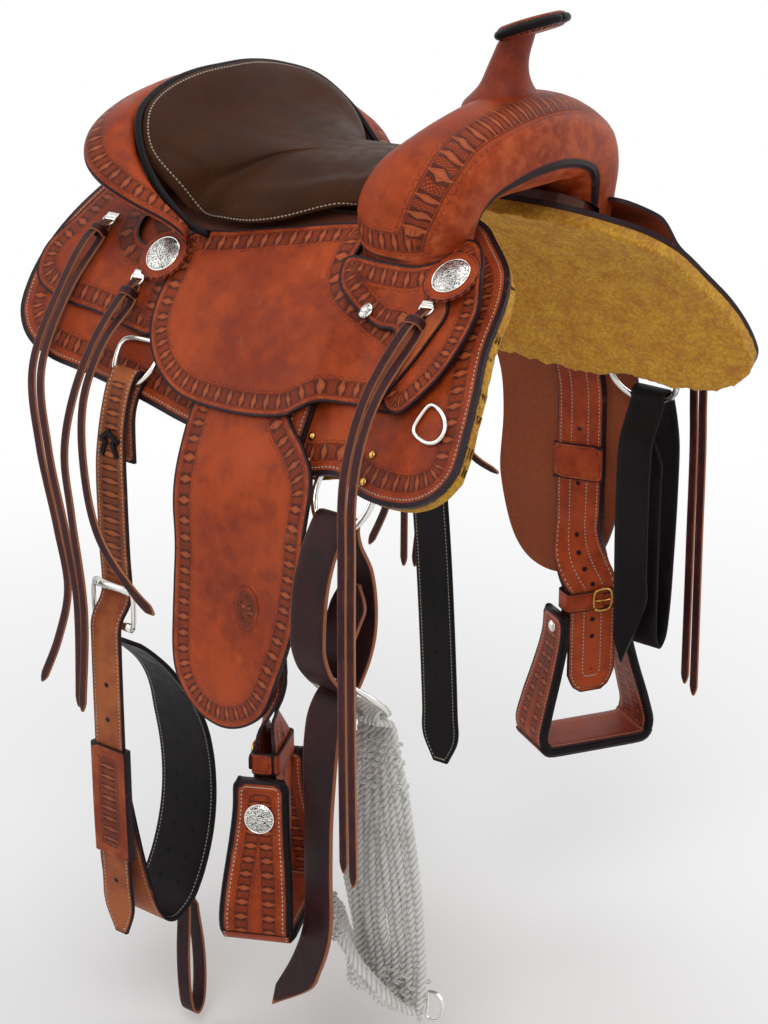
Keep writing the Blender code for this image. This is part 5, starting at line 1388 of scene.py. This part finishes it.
# Stirrups: a stitched and carved panel with black edges, a wrapped tread, the bolt and its nuts
for tag, side in sides:
    wide = turnedWide(side, stirrupSettings["turn"])
    front = Vector((wide.y * side, -wide.x * side, 0))
    bolt = boltOf(side)
    head = Vector((bolt.x, bolt.y, stirrupSettings["top"]))
    drop, halfWidth, earHalf, wall = (stirrupSettings[k] for k in ("drop", "halfWidth", "earHalf", "wall"))
    topDepth, treadDepth = stirrupSettings["topDepth"], stirrupSettings["treadDepth"]
    profile = [(earHalf, 0.0), (earHalf + 0.001, 0.030), (earHalf + 0.010, 0.070),
               (halfWidth - 0.006, 0.120), (halfWidth, 0.150), (halfWidth - 0.006, 0.166),
               (halfWidth - 0.022, drop - wall / 2), (0.0, drop - wall / 2)]
    profile += [(-w, d) for w, d in reversed(profile[:-1])]
    line = smoothLine([Vector((w, d, 0)) for w, d in profile], 0.005)
    rows, length = [], 0.0
    for i, p in enumerate(line):
        run = (line[min(i + 1, len(line) - 1)] - line[max(i - 1, 0)]).normalized()
        depth = topDepth + (treadDepth - topDepth) * ease(p.y, 0.02, 0.15)
        fall = min(p.y, drop - wall / 2)
        length += (p - line[i - 1]).length if i else 0.0
        out = wide * run.y + Vector((0, 0, 1)) * run.x
        narrow = 0.80 + 0.20 * ease(p.y, 0.0, 0.010)
        rows.append((head + wide * p.x - Vector((0, 0, fall)), front * depth / 2 * narrow, out * wall / 2,
                     length))
    body = "stirrup_body_" + tag
    bm = sweepRows(rows, strapSection)
    addPiece("stirrupPanel_" + tag, bm, finishes["stirrup"], body, "russet_leather", ["stirrup_" + tag],
             sharp=0)
    tread = [(c, w * 1.025, t * 1.30, l) for c, w, t, l in rows if c.z < head.z - 0.158]
    bm = sweepRows(tread, strapSection)
    addPiece("treadWrap_" + tag, bm, finishes["tread"], body, "russet_leather", sharp=0)
    for sign in (-1, 1):
        edge = [row[0] + row[1] * sign * 0.97 for row in rows]
        bm = rod(edge, wall * 0.46, 10)
        addPiece("stirrupEdge_%s_%d" % (tag, sign + 2), bm, finishes["black"], body, "black_leather",
                 sharp=0)
    span = earHalf + wall / 2
    bm = rod([bolt + wide * w for w in (-span, -span / 2, 0, span / 2, span)], stirrupSettings["bolt"], 16,
             front)
    addPiece("stirrupBolt_" + tag, bm, plated, body, "nickel", sharp=0)
    bm = dome(bolt - wide * (span - 0.0005), front, -wide, 0.0078, 0.0042, steps=18)
    addPiece("boltNut_" + tag, bm, plated, body, "nickel", sharp=0)
    spot = head - Vector((0, 0, 0.040)) + wide * (earHalf + 0.0045 + wall / 2)
    outward = rows[8][2].normalized() * (1 if rows[8][2].dot(wide) > 0 else -1)
    bm = dome(spot - outward * 0.001, front, outward, 0.0152, 0.0042)
    addPiece("stirrupConcho_" + tag, bm, engraved, body, "nickel", sharp=0)
    bm = rod(circle(spot, front, outward.cross(front), 0.0152, 40, 41), 0.0010, 6)
    addPiece("stirrupConchoRim_" + tag, bm, plated, body, "nickel", sharp=0)

    # hobble strap round the turned leathers, with its little buckle
    plies = strapTwist[-1][4] + strapTwist[-1][5] + stirrupSettings["strapLeather"]
    centre = bolt + front * (strapTwist[-1][5] - strapTwist[-1][4]) / 2
    centre.z = stirrupSettings["top"] + 0.012 + 0.0025
    corner, thick, tall = 0.004, 0.0026, 0.024
    halfAcross = stirrupSettings["strapWidth"] / 2 + 0.0009 * 1.6
    halfThrough = plies / 2 + 0.0009 * 1.6
    loop = []
    for a, b, start in ((1, 1, 0), (-1, 1, 90), (-1, -1, 180), (1, -1, 270)):
        for k in range(7):
            angle = radians(start + 15 * k)
            loop.append(centre + wide * (a * (halfAcross - corner) + cos(angle) * (corner + thick / 2))
                        + front * (b * (halfThrough - corner) + sin(angle) * (corner + thick / 2)))
    line, rows, length = smoothLine(loop, 0.004, True), [], 0.0
    for i, p in enumerate(line + [line[0]]):
        run = (line[(i + 1) % len(line)] - line[i - 1 if i < len(line) else -1]).normalized()
        length += (p - line[i - 1]).length if i else 0.0
        rows.append((p, Vector((0, 0, tall / 2)), run.cross(Vector((0, 0, 1))) * thick / 2, length))
    bm = sweepRows(rows, strapSection)
    addPiece("hobbleLeather_" + tag, bm, finishes["hobble"], "leg_" + tag, "russet_leather",
             ["hobble_strap_" + tag], sharp=0)
    front = front * side
    face = centre + front * (halfThrough + thick + 0.0012) + wide * 0.010
    corners = [face + wide * x + Vector((0, 0, z))
               for x, z in ((-0.011, -0.0125), (-0.011, 0.0125), (0.011, 0.0125), (0.011, -0.0125))]
    frameLine = [corners[k].lerp(corners[(k + 1) % 4], share) for k in range(4) for share in (0.15, 0.85)]
    bm = rod(smoothLine(frameLine, 0.002, True), 0.0015, 8, front)
    addPiece("hobbleBuckle_" + tag, bm, brass, "leg_" + tag, "nickel", sharp=0)
    tongue = ((-0.011, 0.0), (-0.004, 0.0018), (0.004, 0.0018), (0.012, 0.001))
    bm = rod([face + wide * x + front * y for x, y in tongue], 0.0011, 8)
    addPiece("hobbleTongue_" + tag, bm, brass, "leg_" + tag, "nickel", sharp=0)
    tail = [(face + wide * x - front * 0.0004, Vector((0, 0, 0.0085)) * (1 if x < 0.024 else 0.7),
             front * 0.0011, x) for x in (0.002, 0.010, 0.017, 0.021, 0.0245)]
    bm = sweepRows(tail, strapSection)
    addPiece("hobbleTail_" + tag, bm, finishes["hobble"], "leg_" + tag, "russet_leather", sharp=0)
print("stirrups made")

# Rope cinch: laid cords side by side, hung over both rings and woven together in places
cinch = {"cords": 11, "ringRadius": 0.044, "wire": 0.0035, "end": 0.048, "wide": 0.105, "sides": 12,
         "step": 0.0026, "lay": 0.024}


def cordSize(share):
    # thicker in the middle than where it hangs on the rings
    return 0.0040 + 0.0013 * sin(pi * min(max(share * 1.15 - 0.05, 0), 1)) ** 0.6


def twistedCord(line, radius, seed=0.0, plies=3):
    # a laid rope: three strands winding round, their phase kept in a map
    rings, phases, length = [], [], 0.0
    for i, (p, across, rise, run) in enumerate(tubeRows(line, 1.0)):
        size = radius(i / (len(line) - 1)) if callable(radius) else radius
        ring, turn = [], []
        for k in range(cinch["sides"]):
            angle = tau * k / cinch["sides"]
            phase = plies * k / cinch["sides"] - run / (cinch["lay"] / plies) * 1.0 + seed
            swell = size * (0.90 + 0.13 * cos(tau * phase))
            ring.append(p + (across.normalized() * cos(angle) + rise.normalized() * sin(angle)) * swell)
            turn.append(phase)
        rings.append(ring)
        phases.append(turn)
    return rings, phases


def cordPiece(name, cords, body, replaces=()):
    bm = bmesh.new()
    bm.loops.layers.uv.new("wind")
    for rings, phases in cords:
        part = skinRings(rings)
        part.verts.ensure_lookup_table()
        uv = part.loops.layers.uv.new("wind")
        count = len(rings[0])
        for face in part.faces:
            values = []
            for loop in face.loops:
                i, k = divmod(loop.vert.index, count)
                values.append((phases[i][k], loop))
            base = values[0][0]
            for value, loop in values:
                while value - base > 1.4:
                    value -= 3.0
                while value - base < -1.4:
                    value += 3.0
                loop[uv].uv = (value, 0.0)
        mesh = bpy.data.meshes.new("part")
        part.to_mesh(mesh)
        part.free()
        bm.from_mesh(mesh)
        bpy.data.meshes.remove(mesh)
    return addPiece(name, bm, cinchCord, body, "rope_white", replaces, sharp=0)


ringA = Vector((middleOf(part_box("cinch_ring_1")).x, -0.257, -0.385))
along = Vector((1, 0, 0))
leanA = Vector((0, -0.72, 0.69)).normalized()
faceA = Vector((0, -0.69, -0.72)).normalized()
see = Vector((-0.55, 0.83, 0)).normalized()
ringB, radiusB, downZ = Vector((0.118, -0.262, -0.572)), 0.030, Vector((0, 0, -1))
lowA = ringA - leanA * (cinch["ringRadius"] + cinch["wire"] + 0.0006)
lowB = ringB + downZ * (radiusB + cinch["wire"] + 0.0006)
route = [lowA - leanA * 0.004, lowA - leanA * 0.014, Vector((0.159, -0.212, -0.470)),
         Vector((0.160, -0.212, -0.560)),
         Vector((0.160, -0.203, -0.660)), Vector((0.158, -0.192, -0.730)), Vector((0.157, -0.197, -0.768)),
         Vector((0.155, -0.215, -0.752)), Vector((0.143, -0.232, -0.705)), Vector((0.130, -0.248, -0.655)),
         lowB + downZ * 0.014, lowB + downZ * 0.004]
spine = smoothLine(route, 0.010)
stations = []
for i, point in enumerate(spine):
    t = i / (len(spine) - 1)
    run = (spine[min(i + 1, len(spine) - 1)] - spine[max(i - 1, 0)]).normalized()
    across = along.lerp(-see, ease(t, 0.62, 0.95)).normalized()
    across = (across - run * across.dot(run)).normalized()
    spread = cinch["end"] + (cinch["wide"] - cinch["end"]) * ease(t, 0.0, 0.35) * (1 - ease(t, 0.62, 0.98))
    stations.append((point, across, run.cross(across), spread))
cords = []
for k in range(cinch["cords"]):
    share = (k - (cinch["cords"] - 1) / 2) / ((cinch["cords"] - 1) / 2)
    line = []
    offset = share * (cinch["end"] / 2 - 0.004)
    wireA = ringA + along * offset - leanA * sqrt(cinch["ringRadius"] ** 2 - offset ** 2)
    line += [wireA - faceA * 0.006 - leanA * 0.010, wireA - faceA * 0.0078,
             wireA - faceA * 0.0058 + leanA * 0.0058, wireA + leanA * 0.0080,
             wireA + faceA * 0.0058 + leanA * 0.0058, wireA + faceA * 0.0078,
             wireA + faceA * 0.004 - leanA * 0.011]
    for i, (point, across, rise, spread) in enumerate(stations[2:-2], 2):
        t = i / (len(stations) - 1)
        loose = sin(pi * t) ** 0.5
        wander = (sin(7.1 * k + 9 * t) * 0.0030 + sin(3.3 * k + 21 * t) * 0.0016) * loose
        sway = sin(5.7 * k + 13 * t) * 0.0012 * loose
        line.append(point + across * (share * (spread / 2 - 0.0046) + sway) + rise * wander)
    offset = share * (cinch["end"] / 2 - 0.004) * 0.85
    wireB = ringB - see * offset + downZ * sqrt(radiusB ** 2 - min(offset ** 2, 0.00062))
    outB = see.cross(downZ)
    line += [wireB + outB * 0.0055 + downZ * 0.009, wireB + outB * 0.0078, wireB - downZ * 0.0080,
             wireB - outB * 0.0078, wireB - outB * 0.0055 + downZ * 0.010]
    cords.append(twistedCord(smoothLine(line, cinch["step"]), cordSize, k * 0.37))
cordPiece("ropeCinch", cords, "girth_off", ["front_cinch"])
weave = []
for at, count in ((0.085, 4), (0.17, 2), (0.60, 5), (0.915, 3)):
    index = int(at * (len(stations) - 1))
    for n in range(count):
        point, across, rise, spread = stations[min(index + n, len(stations) - 2)]
        line = []
        for j in range(4 * cinch["cords"] + 1):
            share = j / (4 * cinch["cords"]) * 2 - 1
            lift = sin(share * pi * cinch["cords"] / 2 + n * pi) * 0.0052
            line.append(point + across * share * (spread / 2 + 0.0012) + rise * lift)
        weave.append(twistedCord(smoothLine(line, 0.0022), 0.0026, n * 0.5))
cordPiece("ropeWeave", weave, "girth_off")
point, across, rise, spread = stations[int(0.60 * (len(stations) - 1)) + 2]
deeCentre = point + across * (spread / 2 + 0.008)
run = across.cross(rise)
deeShape = ((-0.004, -0.015), (-0.004, 0.0), (-0.004, 0.015), (0.004, 0.016),
            (0.013, 0.011), (0.016, 0.0), (0.013, -0.011), (0.004, -0.016))
deeLine = smoothLine([deeCentre + across * x + run * y for x, y in deeShape], 0.003, True)
bm = rod(deeLine + deeLine[:1], 0.0021, 10, rise)
addPiece("cinchDee", bm, plated, "girth_off", "nickel", sharp=0)
tongue = [ringA + leanA * 0.040 + faceA * 0.001, ringA + faceA * 0.006,
          ringA - leanA * 0.046 + faceA * 0.0062]
bm = rod(tongue, 0.0024, 10, along)
addPiece("cinchTongue", bm, plated, "girth_off", "nickel", sharp=0)
print("cinch made")

# Small fittings: clip plates, screws, wear leaf, keepers, lace and rivets
def pinOn(name, side, x, s, h, across, rise, finish):
    point, forward, outward = surfaceFrame(side, x, s, h)
    addPiece(name, dome(point, forward, outward, across, rise, steps=20), finish, "saddle", "nickel",
             sharp=0)


wearLeaf = ((0.208, 0.150), (0.222, 0.168), (0.217, 0.200), (0.204, 0.232), (0.186, 0.258), (0.172, 0.268),
            (0.163, 0.262), (0.164, 0.246), (0.176, 0.222), (0.184, 0.196), (0.187, 0.166), (0.194, 0.150))
screwSpots = ((0.187, 0.312), (0.187, 0.340), (0.098, 0.303), (0.103, 0.329))
for tag, side in sides:
    for index, (x, s) in enumerate(clipSpots):
        clip = [Vector(c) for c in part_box("clip_dee_%s_%d" % (tag, index + 1))]
        point, forward, outward = surfaceFrame(side, x, s, 0.02)
        down = outward.cross(forward) * (1 if outward.cross(forward).z < 0 else -1)
        middle = (clip[0] + clip[1]) / 2 - down * 0.006 - outward * 0.0005
        rows = [(middle + down * y, forward * 0.0088, outward * 0.0009, y + 0.01)
                for y in (-0.0055, -0.003, 0.0, 0.003, 0.0045)]
        addPiece("clipPlate_%s_%d" % (tag, index + 1), sweepRows(rows, strapSection), plated, "saddle",
                 "nickel", sharp=0)
    bm = cutLeather(wearLeaf, lambda x, s, h, side=side: onBack(side, x, s, h),
                    lambda x, s: frontJockeyTop(x, s) + 0.0004, lambda x, s: frontJockeyTop(x, s) + 0.0032,
                    cell=0.005)
    addPiece("wearLeaf_" + tag, bm, finishes["wear"], "saddle", "russet_leather")
    for k, (x, s) in enumerate(screwSpots):
        pinOn("skirtScrew_%s_%d" % (tag, k), side, x, s, layers["onSkirt"] + 0.0004, 0.0042, 0.0022, brass)
    pinOn("jockeyFitting_" + tag, side, 0.120, 0.175, frontJockeyTop(0.120, 0.175) + 0.0002, 0.0088, 0.0026,
          engraved)
    pinOn("jockeyPost_" + tag, side, 0.120, 0.175, frontJockeyTop(0.120, 0.175) + 0.0026, 0.0036, 0.0020,
          plated)

# The billet's carved keeper, the lace above it and the flank cinch's rivets
billet = strapRows["off_billet"]
sleeve = [(c, a * 1.22, t * 2.35, l - 0.100) for c, a, t, l in billet if 0.100 <= l <= 0.243]
addPiece("billetKeeper", sweepRows(sleeve, strapSection), finishes["keeper"], "rear_off", "russet_leather")
spotRow = min(billet, key=lambda row: abs(row[3] - 0.600))
laces = ((-0.006, 0.004, 0.6), (0.006, 0.004, -0.6), (-0.008, -0.010, 1.2), (0.008, -0.010, -1.2))
for k, (x, z, tilt) in enumerate(laces):
    spot = spotRow[0] + Vector((x, -0.0040, z))
    rows = [(spot + Vector((cos(tilt) * w, -0.0014 * (1 - (w / 0.010) ** 2), sin(tilt) * w)),
             Vector((-sin(tilt), 0, cos(tilt))) * 0.0030,
             Vector((0, -1, 0)) * 0.0011, w + 0.01) for w in (-0.010, -0.005, 0, 0.005, 0.010)]
    addPiece("billetLace_%d" % k, sweepRows(rows, strapSection), finishes["black"], "rear_off",
             "black_leather")
for k, run in enumerate((0.150, 0.166)):
    row = min(strapRows["flank_cinch"], key=lambda r: abs(r[3] - run))
    out = row[2].normalized()
    bm = dome(row[0] + row[2], Vector((0, 0, 1)), out, 0.0040, 0.0018, steps=18)
    addPiece("flankRivet_%d" % k, bm, brass, "rear_off", "nickel", sharp=0)

# The roller buckle's two rollers
low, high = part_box("roller_buckle")
for k, z in enumerate((high[2] - 0.002, low[2] + 0.002)):
    line = [Vector((x, (low[1] + high[1]) / 2, z)) for x in np.linspace(low[0] + 0.006, high[0] - 0.006, 6)]
    addPiece("buckleRoller_%d" % k, rod(line, 0.0052, 16), plated, "rear_off", "nickel", sharp=0)

# A keeper round each stirrup leather, and each fender's scalloped oval
for tag, side in sides:
    rows = []
    for k, s in enumerate((0.448, 0.454, 0.464, 0.476, 0.486, 0.492)):
        middle = onLeg(side, 0.060, s, strapInner - 0.0010)
        wide = (onLeg(side, 0.090, s, strapInner) - onLeg(side, 0.030, s, strapInner)).normalized()
        down = (onLeg(side, 0.060, s + 0.01, strapInner) - onLeg(side, 0.060, s, strapInner)).normalized()
        rows.append((middle, wide * 0.0355, wide.cross(down) * 0.0034, s - 0.448))
    oval = []
    for k in range(40):
        turn = tau * k / 40
        scallop = 1 + 0.035 * cos(10 * turn)
        oval.append((0.0455 + 0.0185 * cos(turn) * scallop, 0.484 + 0.0255 * sin(turn) * scallop))
    top = layers["fenderLow"] + layers["fender"]
    bm = cutLeather(oval, lambda x, s, h, side=side: onLeg(side, x, s, h + legPush(s)),
                    top - 0.0004, top + 0.0005, cell=0.004, step=0.003)
    addPiece("fenderOval_" + tag, bm, finishes["stamp"], "leg_" + tag, "russet_leather")
    addPiece("legKeeper_" + tag, sweepRows(rows, strapSection), finishes["hobble"], "leg_" + tag,
             "russet_leather")
print("fittings made")

# CAD nodes that stay as they are get finishes of their own
kept = {"ground_seat": finishes["seat"], "tree_bars_and_cantle": treeWood, "tree_fork": treeWood}
for node in nodes:
    mesh = nodes[node].data
    if nodes[node].hide_render or not mesh.materials:
        continue
    for k in range(len(mesh.materials)):
        mesh.materials[k] = kept.get(node, plated)
    print("kept", node)


# Light and floor
lightSettings = {
    "key": ((1.6, -2.2, 2.4), 2.2, 56.0), "fill": ((-2.6, -1.6, 1.2), 2.6, 20.0),
    "nearSide": ((1.2, 2.4, 1.4), 2.4, 34.0), "top": ((-0.2, 0.2, 3.2), 2.6, 34.0),
    "floor": -0.925, "world": 0.30,
}


def addLight(name, place, size, power):
    lamp = bpy.data.lights.new(name, "AREA")
    lamp.shape = "DISK"
    lamp.size = size
    lamp.energy = power
    made = bpy.data.objects.new(name, lamp)
    made.location = place
    made.rotation_mode = "QUATERNION"
    made.rotation_quaternion = (Vector(place) - Vector((0, 0, -0.25))).to_track_quat("Z", "Y")
    bpy.context.scene.collection.objects.link(made)


for key in ("key", "fill", "nearSide", "top"):
    addLight(key + "Light", *lightSettings[key])

scene = bpy.context.scene
scene.view_settings.view_transform = "Standard"
world = bpy.data.worlds.new("studio")
scene.world = world
sky = Sky(world)
rays = sky.add("ShaderNodeLightPath")
clamped = {"operation": "ADD", "use_clamp": True}
seen = sky.add("ShaderNodeMath", clamped, {0: rays.out("Is Camera Ray"), 1: rays.out("Is Glossy Ray")})
through = sky.add("ShaderNodeMath", clamped, {0: seen.out(0), 1: rays.out("Is Transmission Ray")})
soft = {"Color": (0.95, 0.97, 1.0, 1), "Strength": lightSettings["world"]}
white = {"Color": (1, 1, 1, 1), "Strength": 1.0}
soft, white = (sky.add("ShaderNodeBackground", {}, values).out(0) for values in (soft, white))
blend = sky.add("ShaderNodeMixShader", {}, {0: through.out(0), 1: soft, 2: white})
sky.add("ShaderNodeOutputWorld", {}, {"Surface": blend.out(0)})

bm = bmesh.new()
bmesh.ops.create_circle(bm, cap_ends=True, segments=96, radius=6.0)
bmesh.ops.translate(bm, verts=bm.verts, vec=(0, 0, lightSettings["floor"]))
mesh = bpy.data.meshes.new("floor")
bm.to_mesh(mesh)
bm.free()
floor = bpy.data.objects.new("floor", mesh)
scene.collection.objects.link(floor)
f = Finish("paleFloor")
fade = f.add("ShaderNodeVectorMath", {"operation": "LENGTH"}, {0: f.place()}).out(1).above(1.5, 0.9)
glow = f.add("ShaderNodeEmission", {}, {"Color": (1, 1, 1, 1), "Strength": 1.0})
f.set(colour=(0.93, 0.93, 0.93), rough=0.9)
joined = f.add("ShaderNodeMixShader", {}, {0: fade, 1: Signal(f, f.shader.outputs[0]), 2: glow.out(0)})
f.feed(f.tree.nodes["Material Output"].inputs["Surface"], joined.out(0))
mesh.materials.append(f.material)
print("lights and floor set")
